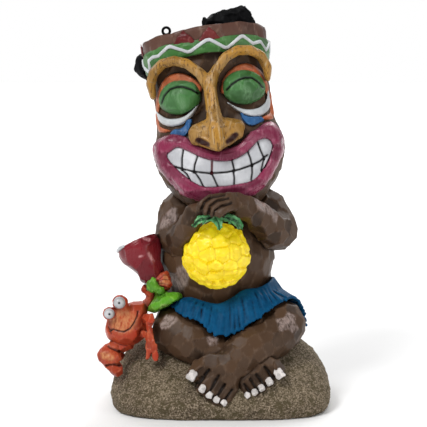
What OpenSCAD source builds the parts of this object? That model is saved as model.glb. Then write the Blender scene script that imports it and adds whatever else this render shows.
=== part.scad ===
// Solar tiki figure: a hand-painted resin garden figure that sits cross-legged on a sand mound,
// holds a glowing pineapple and is visited by a crab that lifts a cocktail glass.
// Millimetres. +Z is up, the face looks along -Y, and the origin is the middle of the underside.

/* [Base] */
// Width of the sand mound
base_w = 220; // [210:1:230]
// Depth of the sand mound
base_d = 172; // [164:1:180]
// Height of the mound where the figure sits
mound_h = 64; // [60:1:67]
// Wall of the hollow castings
cast_wall = 8; // [6:0.5:10]

/* [Head] */
// Half the width of the face at the jaw
jaw_half_w = 64; // [60:1:67]
// Lean of the head towards -X, in degrees
head_lean = 8; // [5:1:10]
// Backward tilt of the head, in degrees
head_tilt = 10; // [8:1:12]

/* [Pineapple lamp] */
// Radius of the pineapple lens
lens_r = 33.5; // [32.5:0.25:34.5]
// Wall of the translucent lens
lens_wall = 2.5; // [2:0.25:3]
// Radius of the plug behind the lens
plug_r = 28; // [26:0.5:29]

/* [Solar unit] */
// Width of the solar unit's housing
unit_w = 72; // [70:1:78]
// Wall of the housing
unit_wall = 2; // [1.6:0.2:2.4]
// Travel of the power switch
switch_travel = 5; // [4:0.5:6]

/* [Hidden] */

proud = 0.6;                      // the plate stands this far below the casting's rim
plate_t = 3;
rim = 14;                         // from the mound's edge to the opening under it
head_at = [8, -4, 185];           // where the head's own frame stands
lens_c = [-5, -40, 154];
lens_depth = 30;
lens_back = -35.5;
plug_back = -26;
unit_x = -2;
unit_front = 44;
unit_back = 74;
unit_foot = 110;
unit_knee = 150;
unit_top = 194;
slope_run = unit_back - unit_front;
slope_rise = unit_top - unit_knee;
slope_angle = atan2(slope_rise, slope_run);
panel = [60, 44, 3];
door = [52, 2, 22];
door_z = 136;
switch_z = 117;
cell_r = 5.2;
cell_len = 44.5;
cell_y = 59;
board_y = 49.5;
board_t = 1.6;
lead_r = 0.8;
lead_clear = 1.2;                 // slanted leads stop this far off the board's face
screw_at = [[-30, 116], [30, 116], [-30, 168], [30, 168]];
glass_foot = [-55, -30, 104];
glass_lean = [26, 16];            // towards -X and backwards, in degrees
crab_eye = [[[-99, -45, 108], 6.2], [[-108.5, -45, 97], 5.4]];
fit = 0.2;
gap = 0.3;

// A boxy oval: the exponent sets how square its corners are
function squircle(a, b, e, n = 28) = [
  for (i = [0:n - 1]) let (t = 360 * i / n, c = cos(t), s = sin(t))
    [a * sign(c) * pow(abs(c), e), b * sign(s) * pow(abs(s), e)]
];

// One level of a stacked form: height, half width, front, back
module level(z, half_w, front, back, e = 0.75) {
  translate([0, (front + back) / 2, z])
    linear_extrude(0.5)
      polygon(squircle(half_w, (back - front) / 2, e));
}

module ball(at, r, n = 14) {
  translate(at) scale(r) sphere(r = 1, $fn = n);
}

// A rounded limb through a list of [centre, radius]
module limb(stations, n = 14) {
  for (i = [0:len(stations) - 2])
    hull() {
      ball(stations[i][0], stations[i][1], n);
      ball(stations[i + 1][0], stations[i + 1][1], n);
    }
}

// A sculpted form has no bore, so it is resolved as one mesh
module sculpted() { resize([0, 0, 0]) children(); }

module in_head() { translate(head_at) rotate([-head_tilt, -head_lean, 0]) children(); }

module in_glass() { translate(glass_foot) rotate([-glass_lean[1], -glass_lean[0], 0]) children(); }

module mirrored_pair() {
  children();
  mirror([1, 0, 0]) children();
}

module forward(y) { translate([0, y, 0]) rotate([90, 0, 0]) children(); }

// ---- Base ------------------------------------------------------------------------------------

module mound_form(inset = 0) {
  w = base_w / 2 - inset;
  d = base_d / 2 - inset;
  hull() {
    translate([0, 0, proud]) level(0, w - 3, 3 - d, d - 3, 0.55);
    level(13, w, -d, d, 0.55);
    level(30 - inset / 2, w - 4, 15 - d, d - 4, 0.6);
    level(45 - inset * 0.8, w - 14, 35 - d, d - 12, 0.65);
    level(mound_h - 7 - inset, w - 29, 58 - d, d - 22, 0.7);
    level(mound_h - 0.5 - inset, w - 44, 78 - d, d - 38, 0.8);
  }
}

module base_outline(h, inset) {
  linear_extrude(h) polygon(squircle(base_w / 2 - inset, base_d / 2 - inset, 0.55));
}

module base_casting() {
  color("#8a7a5f") sculpted() difference() {
    mound_form();
    difference() {
      mound_form(inset = cast_wall);
      translate([-120, -100, -1]) cube([240, 200, plate_t + 1]);
    }
    translate([0, 0, -1]) base_outline(plate_t + 1.5, rim);
    passage();
  }
}

module base_plate() {
  color("#5c4a36") base_outline(plate_t, rim + gap);
}

// The castings' hollows join up through the pelvis and the neck
module passage() { translate([-4, 16, 40]) cylinder(r = 18, h = 190, $fn = 24); }

// ---- Torso and head --------------------------------------------------------------------------

module torso_form() {
  ball([-4, 8, 148], [56, 51, 50], 20);
  hull() {
    ball([-4, 16, 92], [54, 42, 26], 18);
    ball([-4, 10, 130], [54, 46, 30], 18);
  }
  hull() {
    ball([-4, 8, 162], [50, 42, 30], 18);
    ball([-37, 10, 188], 20);
    ball([36, 10, 189], 22);
  }
  hull() {
    ball([-4, 8, 190], [34, 28, 20]);
    ball([-1, 2, 212], [30, 26, 12]);
  }
}

module torso_casting() {
  color("#4a3426") sculpted() difference() {
    torso_form();
    mound_form();
    ball([-4, 8, 146], [47, 41, 43], 18);
    passage();
    translate([lens_c[0], 0, lens_c[2]]) {
      forward(-20) cylinder(r = plug_r + fit, h = 60, $fn = 48);
      forward(lens_back + fit) cylinder(r = lens_r + 1, h = 60, $fn = 48);
    }
    unit_profile(grow = fit);
    for (p = screw_at) translate([unit_x + p[0], 0, p[1]]) forward(60) cylinder(r = 1.7, h = 24, $fn = 16);
  }
}

module head_form(inset = 0) {
  w = inset;
  in_head() {
    hull() { level(8 + w, 26 - w, w - 36, 20 - w); level(30, 50 - w, w - 50, 32 - w); }
    hull() {
      level(30, 50 - w, w - 50, 32 - w);
      level(58, jaw_half_w - w, w - 53, 38 - w);
      level(78, jaw_half_w - w, w - 53, 38 - w);
    }
    hull() { level(78, jaw_half_w - w, w - 53, 38 - w); level(96, 57.5 - w, w - 49, 40 - w); }
    hull() { level(96, 57.5 - w, w - 49, 40 - w); level(182 - w, 58 - w, w - 46, 40 - w); }
  }
}

module head_casting() {
  color("#4a3426") sculpted() difference() {
    head_form();
    torso_form();
    head_form(inset = cast_wall + 2);
    passage();
  }
}

// ---- Carved and painted features of the face ---------------------------------------------------

module brow_form() {
  in_head() {
    mirrored_pair()
      limb([
        [[0, -56, 130], 8], [[12, -56, 143], 7], [[24, -55, 152], 7], [[38, -51, 155], 7],
        [[50, -44, 151], 7], [[56, -34, 141], 6]
      ]);
    hull() {
      ball([0, -56, 134], [9, 9, 8]);
      ball([0, -60, 96], [10, 13, 10]);
    }
    hull() {
      ball([0, -62, 92], [10, 14, 10]);
      ball([0, -68, 72], [9, 14, 10]);
    }
    mirrored_pair()
      hull() {
        ball([6, -62, 80], [10, 12, 10]);
        ball([19, -58, 82], [10, 11, 9.5]);
      }
  }
}

module brow_and_nose() {
  color("#b07f3c") sculpted() difference() {
    brow_form();
    head_form();
    in_head() mirrored_pair() translate([14, -72, 62]) rotate([-30, 0, 0]) cylinder(r = 4, h = 10);
  }
}

module teeth_form() {
  in_head()
    hull() {
      mirrored_pair() ball([46, -44, 61], [8, 9, 9]);
      ball([0, -50, 41], [24, 11, 14]);
      mirrored_pair() ball([22, -48, 40], [8, 10, 12]);
    }
}

module lips_form() {
  in_head() mirrored_pair() {
    limb([
      [[0, -52, 58], [8, 9, 6]], [[22, -53, 65], [8, 9, 7]], [[44, -46, 76], [9, 10, 8]],
      [[55, -38, 70], [9, 10, 9]], [[51, -40, 54], [8, 10, 9]], [[42, -43, 38], [8, 10, 8]],
      [[29, -47, 27], [8, 10, 8]], [[0, -50, 22], [8, 10, 8]]
    ]);
  }
}

module lips() {
  color("#8e2a50") sculpted() difference() {
    lips_form();
    head_form();
    torso_form();
    brow_form();
    left_arm_form();
    right_arm_form();
  }
}

module teeth() {
  color("#e8e6e2") sculpted() difference() {
    teeth_form();
    head_form();
    lips_form();
    brow_form();
  }
}

module eyelid(side) {
  color("#3f7a43") sculpted() difference() {
    in_head() ball([side * 32, -45, 120], [22, 14, 18], 20);
    head_form();
    brow_form();
  }
}

module band_form(inset = 0) {
  in_head() hull() {
    level(151, 61 - inset, inset - 51, 45 - inset);
    level(185, 62 - inset, inset - 53, 47 - inset);
  }
}

module headband() {
  color("#54332c") sculpted() difference() {
    band_form();
    head_form();
    in_head() hull() {
      level(182.4, 58, -48, 42);
      level(200, 59, -49, 43);
    }
    brow_form();
  }
}

module hair_form() {
  in_head() {
    hull() {
      level(182.7, 57.6, -47.6, 41.6);
      ball([-10, 0, 186], [38, 30, 5]);
      ball([24, 6, 190], [28, 28, 8]);
    }
    hull() {
      ball([-44, 36, 166], [18, 16, 22]);
      ball([42, 36, 162], [18, 16, 22]);
      ball([0, 44, 110], [46, 12, 20]);
      ball([0, 38, 66], [34, 12, 14]);
    }
    hull() {
      ball([-50, 32, 177], [20, 16, 11]);
      ball([-46, 30, 160], [13, 14, 12]);
    }
    hull() {
      ball([44, 32, 172], [19, 14, 10]);
      ball([42, 30, 158], [16, 14, 12]);
    }
  }
  hull() {
    ball([-10, 20, 382], [6, 12, 5]);
    ball([21, 20, 392], [5, 10, 5]);
    ball([30, 20, 380], [6, 12, 5]);
    ball([6, 22, 376], [24, 18, 8]);
  }
  for (i = [0:5]) hull() {
    ball([-54 + 3.4 * cos(60 * i), 2, 373 + 3.4 * sin(60 * i)], 1.4, 8);
    ball([-54 + 3.4 * cos(60 * i + 60), 2, 373 + 3.4 * sin(60 * i + 60)], 1.4, 8);
  }
  hull() { ball([-54, 2, 369], 2, 8); ball([-50, 8, 362], 4, 8); }
}

module hair() {
  color("#0e0e10") sculpted() difference() {
    hair_form();
    head_form();
    difference() {
      band_form();
      in_head() hull() {
        level(182.4, 58, -48, 42);
        level(200, 59, -49, 43);
      }
    }
    torso_form();
  }
}

// ---- Arms, legs and skirt ----------------------------------------------------------------------

module left_arm_form() {
  limb([
    [[42, 8, 189], 25], [[55, 0, 174], 21], [[51, -14, 175], 18], [[36, -40, 194], 13],
    [[18, -62, 206], 9.5], [[2, -69, 211], [11, 9, 8]], [[-14, -71, 208], [8, 7, 6]],
    [[-19, -73, 202], [6, 5, 4]]
  ]);
}

module right_arm_form() {
  limb([
    [[-40, 8, 188], 22], [[-44, -2, 170], 19.5], [[-40, -22, 164], 15], [[-35, -42, 178], 11.5],
    [[-27, -54, 197], 9.5], [[-14, -60, 203], [9, 8, 7]]
  ]);
}

module pineapple_form() {
  translate([lens_c[0], lens_c[1], lens_c[2]]) scale([lens_r, lens_depth, lens_r] + [0.5, 0.5, 0.5])
    sphere(r = 1, $fn = 40);
}

module left_arm() {
  color("#4a3426") sculpted() difference() {
    left_arm_form();
    torso_form();
    head_form();
    pineapple_form();
  }
}

module right_arm() {
  color("#4a3426") sculpted() difference() {
    right_arm_form();
    torso_form();
    head_form();
    left_arm_form();
    pineapple_form();
  }
}

module left_leg_form() {
  limb([
    [[31, 18, 86], 27], [[60, -26, 82], 24], [[52, -40, 74], 21], [[26, -56, 60], 19],
    [[8, -64, 50], 18]
  ]);
  hull() {
    ball([8, -64, 50], 18);
    ball([-22, -66, 42], [10, 8, 9]);
    ball([0, -78, 22], [9, 8, 8]);
  }
}

module right_leg_form() {
  limb([
    [[-35, 18, 86], 27], [[-44, -26, 76], 25], [[-26, -40, 64], 20], [[10, -48, 48], 17]
  ]);
  hull() {
    ball([10, -48, 48], 17);
    ball([51, -64, 42], [9, 8, 9]);
    ball([28, -74, 27], [8, 8, 8]);
  }
}

module left_leg() {
  color("#4a3426") sculpted() difference() {
    left_leg_form();
    torso_form();
    mound_form();
  }
}

module right_leg() {
  color("#4a3426") sculpted() difference() {
    right_leg_form();
    torso_form();
    mound_form();
    left_leg_form();
  }
}

module skirt_form() {
  hull() {
    ball([-40, -30, 101], [10, 14, 8]);
    ball([4, -48, 86], [14, 10, 10]);
    ball([34, -34, 108], [12, 12, 10]);
    ball([-2, 10, 104], [52, 42, 12]);
  }
  hull() {
    ball([18, -40, 107], [8, 8, 6]);
    ball([46, -22, 123], [8, 12, 7]);
    ball([42, -20, 104], [14, 14, 10]);
    ball([44, 20, 118], [12, 20, 8]);
  }
  hull() {
    ball([50, -14, 99], [14, 16, 9]);
    ball([73, -4, 98], [10, 18, 9]);
    ball([77, 4, 87], [8, 16, 8]);
    ball([44, 30, 98], [18, 24, 12]);
  }
  hull() {
    ball([-4, 22, 110], [56, 40, 10], 18);
    ball([-4, 26, 88], [66, 44, 8], 18);
  }
}

module skirt() {
  color("#14568f") sculpted() difference() {
    skirt_form();
    torso_form();
    left_leg_form();
    right_leg_form();
    mound_form();
    unit_profile(grow = 1);
    glass_form();
    raised_claw_form();
  }
}

// ---- Pineapple lamp ------------------------------------------------------------------------------

module pineapple_lens() {
  inner_r = lens_r - lens_wall;
  color("#f2d314") translate([lens_c[0], 0, lens_c[2]]) rotate([90, 0, 0])
    rotate_extrude($fn = 64) polygon(concat(
      [for (a = [0:9:90]) [lens_r * cos(a), -lens_c[1] + lens_depth * sin(a)]],
      [for (a = [90:-9:0]) [inner_r * cos(a), -lens_c[1] + (lens_depth - lens_wall) * sin(a)]],
      [
        [inner_r, -lens_back + lens_wall], [plug_r - lens_wall, -lens_back + lens_wall],
        [plug_r - lens_wall, -plug_back], [plug_r, -plug_back], [plug_r, -lens_back],
        [lens_r, -lens_back]
      ]
    ));
}

module pineapple_leaves() {
  color("#2f8a4a") sculpted() difference() {
    union() {
      for (leaf = [[-24, -56, 180], [-11, -68, 181], [2, -71, 179], [14, -66, 182], [22, -56, 181]])
        hull() {
          ball([-4, -54, 195], [7, 7, 4], 10);
          ball([-5 + leaf[0] * 0.6, leaf[1], leaf[2] + 10], [6, 4, 4], 10);
          ball([-5 + leaf[0], leaf[1], leaf[2]], 2.5, 10);
        }
      ball([-4, -52, 196], [12, 10, 5], 10);
    }
    pineapple_form();
    torso_form();
    left_arm_form();
    right_arm_form();
  }
}

module led_holder() {
  color("white") translate([lens_c[0], plug_back, lens_c[2]]) rotate([90, 0, 0])
    difference() {
      cylinder(r = plug_r - lens_wall - fit, h = 2, $fn = 48);
      translate([0, 0, -1]) cylinder(r = 2.6, h = 4, $fn = 24);
    }
}

module led() {
  color("#fff6d0") translate([lens_c[0], plug_back, lens_c[2]]) rotate([90, 0, 0]) {
    translate([0, 0, -1]) cylinder(r = 2.5, h = 8, $fn = 24);
    translate([0, 0, 7]) sphere(r = 2.5, $fn = 24);
  }
}

module wire(a, b, r) {
  d = b - a;
  translate(a) rotate([0, acos(d[2] / norm(d)), atan2(d[1], d[0])]) cylinder(r = r, h = norm(d), $fn = 16);
}

// Two insulated leads straight back through the hollow torso to the board
module led_leads() {
  color("#b02020") for (dx = [-1.2, 1.2])
    wire([lens_c[0] + dx, plug_back + 1.2, lens_c[2]], [unit_x + dx, board_y - 0.6, 152], lead_r);
}

module panel_leads() {
  color("#b02020") for (dx = [-1.2, 1.2])
    wire(
      [unit_x + 12 + dx, board_y + board_t + lead_clear, 155], [unit_x + 12 + dx, 58, 167], lead_r
    );
}

// ---- Crab and glass ------------------------------------------------------------------------------

module crab_form() {
  hull() {
    ball([-95, -30, 76], [20, 22, 21], 16);
    ball([-84, -28, 95], [12, 15, 11]);
    ball([-100, -30, 88], [12, 15, 11]);
  }
  for (e = crab_eye) hull() {
    ball(e[0] + [0, 5, -0.5], e[1] + 1.2);
    ball(e[0] * 0.6 + [-93, -30, 90] * 0.4, e[1]);
  }
}

module crab_body() {
  color("#b23a22") sculpted() difference() {
    crab_form();
    mound_form();
    right_leg_form();
    for (e = crab_eye) ball(e[0], e[1] + 0.1, 22);
  }
}

module crab_eyes() {
  color("white") for (e = crab_eye) translate(e[0]) sphere(r = e[1], $fn = 24);
}

module lower_claw_form() {
  limb([
    [[-98, -34, 62], 8], [[-111, -38, 57], 10], [[-113, -42, 47], 10.5], [[-105, -44, 38], 7.5]
  ]);
}

module crab_lower_claw() {
  color("#b8401f") sculpted() difference() {
    lower_claw_form();
    crab_form();
    mound_form();
    right_leg_form();
  }
}

module raised_claw_form() {
  limb([[[-78, -24, 98], 6], [[-68, -22, 106], 5], [[-67, -22, 118], 5.5]]);
  hull() { ball([-67, -22, 118], 5.5); ball([-74, -24, 121], 4); ball([-76, -24, 124], 2); }
  hull() { ball([-64, -22, 120], 6.5); ball([-57, -25, 125], 9); ball([-60, -22, 134], 5); }
}

module crab_raised_claw() {
  color("#b8401f") sculpted() difference() {
    raised_claw_form();
    crab_form();
    glass_form();
    torso_form();
    right_leg_form();
    right_arm_form();
  }
}

module crab_leg_form() {
  limb([[[-76, -36, 88], 5], [[-70, -46, 88], 4.6], [[-70, -50, 70], 3.8], [[-70, -54, 51], 2.6]], 10);
  limb([[[-78, -40, 76], 4], [[-66, -52, 74], 3.8], [[-65, -56, 60], 3.2], [[-66, -60, 46], 2.2]], 10);
  limb([[[-90, -12, 72], 4], [[-102, 2, 66], 4], [[-104, 5, 50], 3], [[-99, 6, 38], 2.2]], 10);
  limb([[[-84, -12, 74], 4], [[-94, 12, 68], 4], [[-97, 17, 54], 3], [[-93, 19, 42], 2.2]], 10);
}

module crab_legs() {
  color("#b8401f") sculpted() difference() {
    crab_leg_form();
    crab_form();
    mound_form();
    right_leg_form();
    torso_form();
    lower_claw_form();
    raised_claw_form();
  }
}

module glass_stem_form() {
  in_glass() {
    cylinder(r1 = 18, r2 = 13, h = 4, $fn = 24);
    translate([0, 0, 3.9]) cylinder(r1 = 13, r2 = 5, h = 5, $fn = 24);
    translate([0, 0, 8]) cylinder(r = 4, h = 16, $fn = 24);
  }
}

module glass_bowl_form() {
  in_glass() translate([0, 0, 22]) {
    cylinder(r1 = 5, r2 = 11, h = 8, $fn = 24);
    translate([0, 0, 7.9]) cylinder(r1 = 11, r2 = 13, h = 10, $fn = 24);
    translate([0, 0, 17.8]) cylinder(r1 = 13, r2 = 19.5, h = 13, $fn = 24);
    translate([0, 0, 30.7]) cylinder(r1 = 19.5, r2 = 21, h = 15, $fn = 24);
  }
}

module glass_form() {
  glass_stem_form();
  glass_bowl_form();
}

module glass_stem() {
  color("#5aa02c") sculpted() difference() {
    glass_stem_form();
    torso_form();
    right_leg_form();
    right_arm_form();
    crab_form();
  }
}

module glass_bowl() {
  color("#7d1f38") sculpted() difference() {
    glass_bowl_form();
    glass_stem_form();
    torso_form();
    right_arm_form();
    in_glass() translate([0, 0, 65]) cylinder(r = 18.5, h = 6, $fn = 24);
  }
}

// ---- Solar unit in the figure's back -------------------------------------------------------------

module unit_profile(grow = 0) {
  translate([unit_x - unit_w / 2 - grow, 0, 0])
    rotate([90, 0, 90])
      linear_extrude(unit_w + 2 * grow)
        polygon([
          [unit_front - grow, unit_foot - grow], [unit_back + grow, unit_foot - grow],
          [unit_back + grow, unit_knee + 0.5 * grow], [unit_front - grow, unit_top + 2.2 * grow]
        ]);
}

module on_slope() {
  translate([unit_x, (unit_front + unit_back) / 2, (unit_knee + unit_top) / 2])
    rotate([-slope_angle, 0, 0]) children();
}

module solar_housing() {
  boss_z = door_z + door[2] / 2;
  color("#1a1a1c") difference() {
    union() {
      difference() {
        unit_profile();
        unit_profile(grow = -unit_wall);
      }
      // Boss for the door's screw, above the door's opening
      translate([unit_x - 5, unit_back - 9, boss_z - 3]) cube([10, 6.4, 8]);
      translate([unit_x - 5, unit_back - 9, boss_z + 1]) cube([10, 8, 4]);
      // Posts behind the board, and ribs that back the battery contacts
      for (dx = [-24, 24], z = [126, 154])
        translate([unit_x + dx, board_y, z]) rotate([90, 0, 0]) cylinder(r = 2, h = board_y - unit_front - 1, $fn = 24);
      for (side = [-1, 1])
        translate([unit_x + side * (cell_len / 2 + 6) - 4.4, board_y + board_t + 1, door_z - 5])
          cube([8.8, 14, 2]);
    }
    on_slope() cube([panel[0], panel[1], 2 * panel[2]], center = true);
    translate([unit_x, unit_back, door_z]) cube([door[0], 2 * unit_wall + 1, door[2]], center = true);
    translate([unit_x, unit_back, switch_z]) cube([4 + switch_travel, 10, 4], center = true);
    translate([unit_x, unit_front + 10, 152]) rotate([90, 0, 0]) cylinder(r = 4, h = 20, $fn = 24);
    translate([unit_x, unit_back, boss_z - 1.2]) rotate([90, 0, 0]) cylinder(r = 1.5, h = 20, $fn = 24);
    for (p = screw_at)
      translate([unit_x + p[0], unit_front + 4, p[1]]) rotate([90, 0, 0]) cylinder(r = 1.6, h = 8, $fn = 24);
  }
}

module solar_panel() {
  color("#101c3c") on_slope()
    cube([panel[0] - 0.4, panel[1] - 0.4, 2 * panel[2] - 0.6], center = true);
}

module circuit_board() {
  color("#1f6b3a") translate([unit_x - 29, board_y, 121]) cube([58, board_t, 38]);
}

module battery_cell() {
  color("#2d6f3e") translate([unit_x - cell_len / 2, cell_y, door_z]) rotate([0, 90, 0]) {
    cylinder(r = cell_r, h = cell_len - 1.2, $fn = 32);
    translate([0, 0, cell_len - 1.4]) cylinder(r = 1.9, h = 1.4, $fn = 24);
  }
}

module battery_contacts() {
  color("silver") for (side = [-1, 1])
    translate([unit_x + side * (cell_len / 2 + 0.75) - 0.75, board_y + board_t, door_z - 2.9]) cube([1.5, 12.5, 7.5]);
}

module battery_door() {
  boss_z = door_z + door[2] / 2;
  color("#202022") difference() {
    union() {
      translate([unit_x, unit_back - 0.6, door_z]) cube([door[0] - 2 * gap, 2, door[2] - 2 * gap], center = true);
      translate([unit_x, unit_back + gap + 0.75, door_z + 1]) cube([door[0] + 4, 1.5, door[2] + 6], center = true);
    }
    translate([unit_x, unit_back + 4, boss_z - 1.2]) rotate([90, 0, 0]) cylinder(r = 1.5, h = 8, $fn = 24);
    for (i = [-2:2])
      translate([unit_x, unit_back + 2.2, door_z - 4 + 1.8 * i]) cube([16, 1.6, 0.7], center = true);
  }
}

module door_screw() {
  boss_z = door_z + door[2] / 2;
  color("silver") translate([unit_x, unit_back + 3.5, boss_z - 1.2]) rotate([90, 0, 0]) difference() {
    union() {
      cylinder(r = 2.7, h = 1.7, $fn = 24);
      cylinder(r = 1.2, h = 11, $fn = 24);
    }
    for (a = [0, 90]) rotate([0, 0, a]) translate([0, 0, 0.2]) cube([3.2, 0.7, 1.2], center = true);
  }
}

module housing_screws() {
  color("silver") for (p = screw_at)
    translate([unit_x + p[0], unit_front + unit_wall + 1.5, p[1]]) rotate([90, 0, 0]) {
      cylinder(r = 2.8, h = 1.5, $fn = 24);
      cylinder(r = 1.4, h = 9, $fn = 24);
    }
}

module switch_body() {
  color("#30343a") difference() {
    translate([unit_x, unit_back - unit_wall - 2.8, switch_z]) cube([16, 5.6, 7], center = true);
    translate([unit_x, unit_back - unit_wall, switch_z]) cube([4 + switch_travel, 8, 4], center = true);
  }
}

module switch_slider() {
  color("#d8d8d4") translate([unit_x - switch_travel / 2, unit_back - 1, switch_z])
    cube([3.4, 6, 3.2], center = true);
}

base_casting();
base_plate();
torso_casting();
head_casting();
brow_and_nose();
lips();
teeth();
eyelid(1);  // left_eyelid
eyelid(-1);  // right_eyelid
headband();
hair();
left_arm();
right_arm();
left_leg();
right_leg();
skirt();
pineapple_lens();
pineapple_leaves();
led_holder();
led();
led_leads();
crab_body();
crab_eyes();
crab_lower_claw();
crab_raised_claw();
crab_legs();
glass_bowl();
glass_stem();
solar_housing();
solar_panel();
panel_leads();
circuit_board();
battery_cell();
battery_contacts();
battery_door();
door_screw();
housing_screws();
switch_body();
switch_slider();
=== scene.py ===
import math

import bpy
import numpy as np
from mathutils import Matrix, Vector, geometry


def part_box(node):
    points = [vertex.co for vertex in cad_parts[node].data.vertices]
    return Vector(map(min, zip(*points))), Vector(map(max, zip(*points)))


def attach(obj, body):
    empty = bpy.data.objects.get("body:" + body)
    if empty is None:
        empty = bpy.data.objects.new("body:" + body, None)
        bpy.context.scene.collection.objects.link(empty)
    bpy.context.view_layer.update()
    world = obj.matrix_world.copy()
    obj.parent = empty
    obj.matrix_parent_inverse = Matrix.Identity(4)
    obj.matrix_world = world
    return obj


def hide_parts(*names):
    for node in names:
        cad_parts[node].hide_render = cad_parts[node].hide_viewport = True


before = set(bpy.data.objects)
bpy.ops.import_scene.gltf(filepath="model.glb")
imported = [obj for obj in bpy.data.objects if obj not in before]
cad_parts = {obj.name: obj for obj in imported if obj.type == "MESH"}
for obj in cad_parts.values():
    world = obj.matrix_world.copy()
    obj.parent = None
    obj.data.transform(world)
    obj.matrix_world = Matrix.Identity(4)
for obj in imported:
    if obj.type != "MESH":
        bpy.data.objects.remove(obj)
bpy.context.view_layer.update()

mm = 0.001
bpy.context.scene.view_settings.view_transform = "Standard"

look_at = Vector((-7.5 * mm, 0, 190 * mm))
view_distance = 1.5
view_drop = math.radians(8)
camera_data = bpy.data.cameras.new("camera")
camera_data.sensor_width = 36
camera_data.lens = 126.5
camera = bpy.data.objects.new("camera", camera_data)
camera.rotation_euler = (math.pi / 2 - view_drop, 0, 0)
camera.location = look_at + view_distance * Vector((0, -math.cos(view_drop), math.sin(view_drop)))
bpy.context.scene.collection.objects.link(camera)
bpy.context.scene.camera = camera


def set_nodes(name):
    """A new material and its shader."""
    material = bpy.data.materials.new(name)
    material.use_nodes = True
    return material, material.node_tree.nodes["Principled BSDF"]


bpy.ops.object.select_all(action="DESELECT")
bpy.ops.mesh.primitive_plane_add(size=12, location=(0, 0, 0))
floor = bpy.context.object
floor.name = "floor"
floor_paint, floor_shader = set_nodes("floor_paint")
floor_shader.inputs["Base Color"].default_value = (0.90, 0.90, 0.90, 1)
floor_shader.inputs["Roughness"].default_value = 0.9
floor_shader.inputs["Specular IOR Level"].default_value = 0.1
floor.data.materials.append(floor_paint)

world = bpy.data.worlds.new("studio")
world.use_nodes = True
sky = world.node_tree
room = sky.nodes["Background"]
paper = sky.nodes.new("ShaderNodeBackground")
for backdrop, strength in ((room, 0.34), (paper, 1.0)):
    backdrop.inputs["Color"].default_value = (1, 1, 1, 1)
    backdrop.inputs["Strength"].default_value = strength
seen = sky.nodes.new("ShaderNodeLightPath")
either = sky.nodes.new("ShaderNodeMixShader")
sky.links.new(seen.outputs["Is Camera Ray"], either.inputs[0])
sky.links.new(room.outputs[0], either.inputs[1])
sky.links.new(paper.outputs[0], either.inputs[2])
sky.links.new(either.outputs[0], sky.nodes["World Output"].inputs[0])
bpy.context.scene.world = world


def softbox(name, place, aim, size, power):
    lamp = bpy.data.lights.new(name, "AREA")
    lamp.shape = "RECTANGLE"
    lamp.size, lamp.size_y = size
    lamp.energy = power
    stand = bpy.data.objects.new(name, lamp)
    stand.location = place
    stand.rotation_euler = (Vector(aim) - Vector(place)).to_track_quat("-Z", "Y").to_euler()
    bpy.context.scene.collection.objects.link(stand)


chest = (0, 0, 0.2)
softbox("key_light", (-0.9, -1.2, 1.7), chest, (0.6, 0.6), 30)
softbox("fill_light", (1.5, -1.3, 0.6), chest, (0.9, 0.9), 8)
softbox("back_light", (0.5, 1.4, 1.3), chest, (0.9, 0.9), 8)
softbox("sweep_light", (0, 4.2, 2.6), (0, 4.2, 0), (11, 6), 360)

# ---- Base casting ---------------------------------------------------------------------------
# The hollow mound of cast resin that everything is bonded to. Its surface is cast from packed
# sand and washed with thin browns and olive, and a rim stands round the plate beneath it.


def oval(z, half_w, front, back, square, count):
    """One level of a boxy oval form, in millimetres."""
    turn = np.linspace(0, 2 * math.pi, count, endpoint=False)
    c, s = np.cos(turn), np.sin(turn)
    x = half_w * np.sign(c) * np.abs(c) ** square
    y = (front + back) / 2 + (back - front) / 2 * np.sign(s) * np.abs(s) ** square
    return np.stack([x, y, np.full(count, float(z))], 1)


def even(values, steps):
    """Fills in between the levels of a form at equal distances along its side."""
    values = np.array(values, float)
    along = np.concatenate([[0], np.cumsum(np.hypot(np.diff(values[:, 0]), np.diff(values[:, 1])))])
    at = np.linspace(0, along[-1], steps)
    return np.stack([np.interp(at, along, values[:, k]) for k in range(values.shape[1])], 1)


def new_piece(name, points, faces, place):
    """An object from points in millimetres, carried by its placing into the figure's metres."""
    mesh = bpy.data.meshes.new(name)
    mesh.from_pydata([tuple(p) for p in points], [], faces)
    mesh.transform(place @ Matrix.Scale(mm, 4))
    mesh.update()
    piece = bpy.data.objects.new(name, mesh)
    bpy.context.scene.collection.objects.link(piece)
    return piece


def loft(name, rings, place=Matrix()):
    """A closed skin over rings of points, capped at both ends by closing rings."""
    count = len(rings[0])
    first = [rings[0].mean(0) + (rings[0] - rings[0].mean(0)) * k for k in (0.02, 0.2, 0.4, 0.6, 0.8)]
    last = [rings[-1].mean(0) + (rings[-1] - rings[-1].mean(0)) * k for k in (0.8, 0.6, 0.4, 0.2, 0.02)]
    rings = first + list(rings) + last
    faces = []
    for r in range(len(rings) - 1):
        for i in range(count):
            j = (i + 1) % count
            faces.append((r * count + i, r * count + j, (r + 1) * count + j, (r + 1) * count + i))
    faces.append(tuple(reversed(range(count))))
    faces.append(tuple((len(rings) - 1) * count + i for i in range(count)))
    return new_piece(name, np.concatenate(rings), faces, place)


def hold(*pieces):
    """Selects only these pieces, with the first one active."""
    bpy.ops.object.select_all(action="DESELECT")
    for piece in pieces:
        piece.select_set(True)
    bpy.context.view_layer.objects.active = pieces[0]


def apply_modifier(piece, kind, **settings):
    hold(piece)
    bpy.ops.object.modifier_add(type=kind)
    modifier = piece.modifiers[-1]
    for key, value in settings.items():
        setattr(modifier, key, value)
    bpy.ops.object.modifier_apply(modifier=modifier.name)


def rough_up(piece, scale, strength):
    """Pushes the skin in and out by a solid noise, scale and strength in millimetres."""
    texture = bpy.data.textures.new(piece.name + "_clouds", "CLOUDS")
    texture.noise_scale = scale * mm
    apply_modifier(piece, "DISPLACE", texture=texture, texture_coords="LOCAL", strength=strength * mm)


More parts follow.
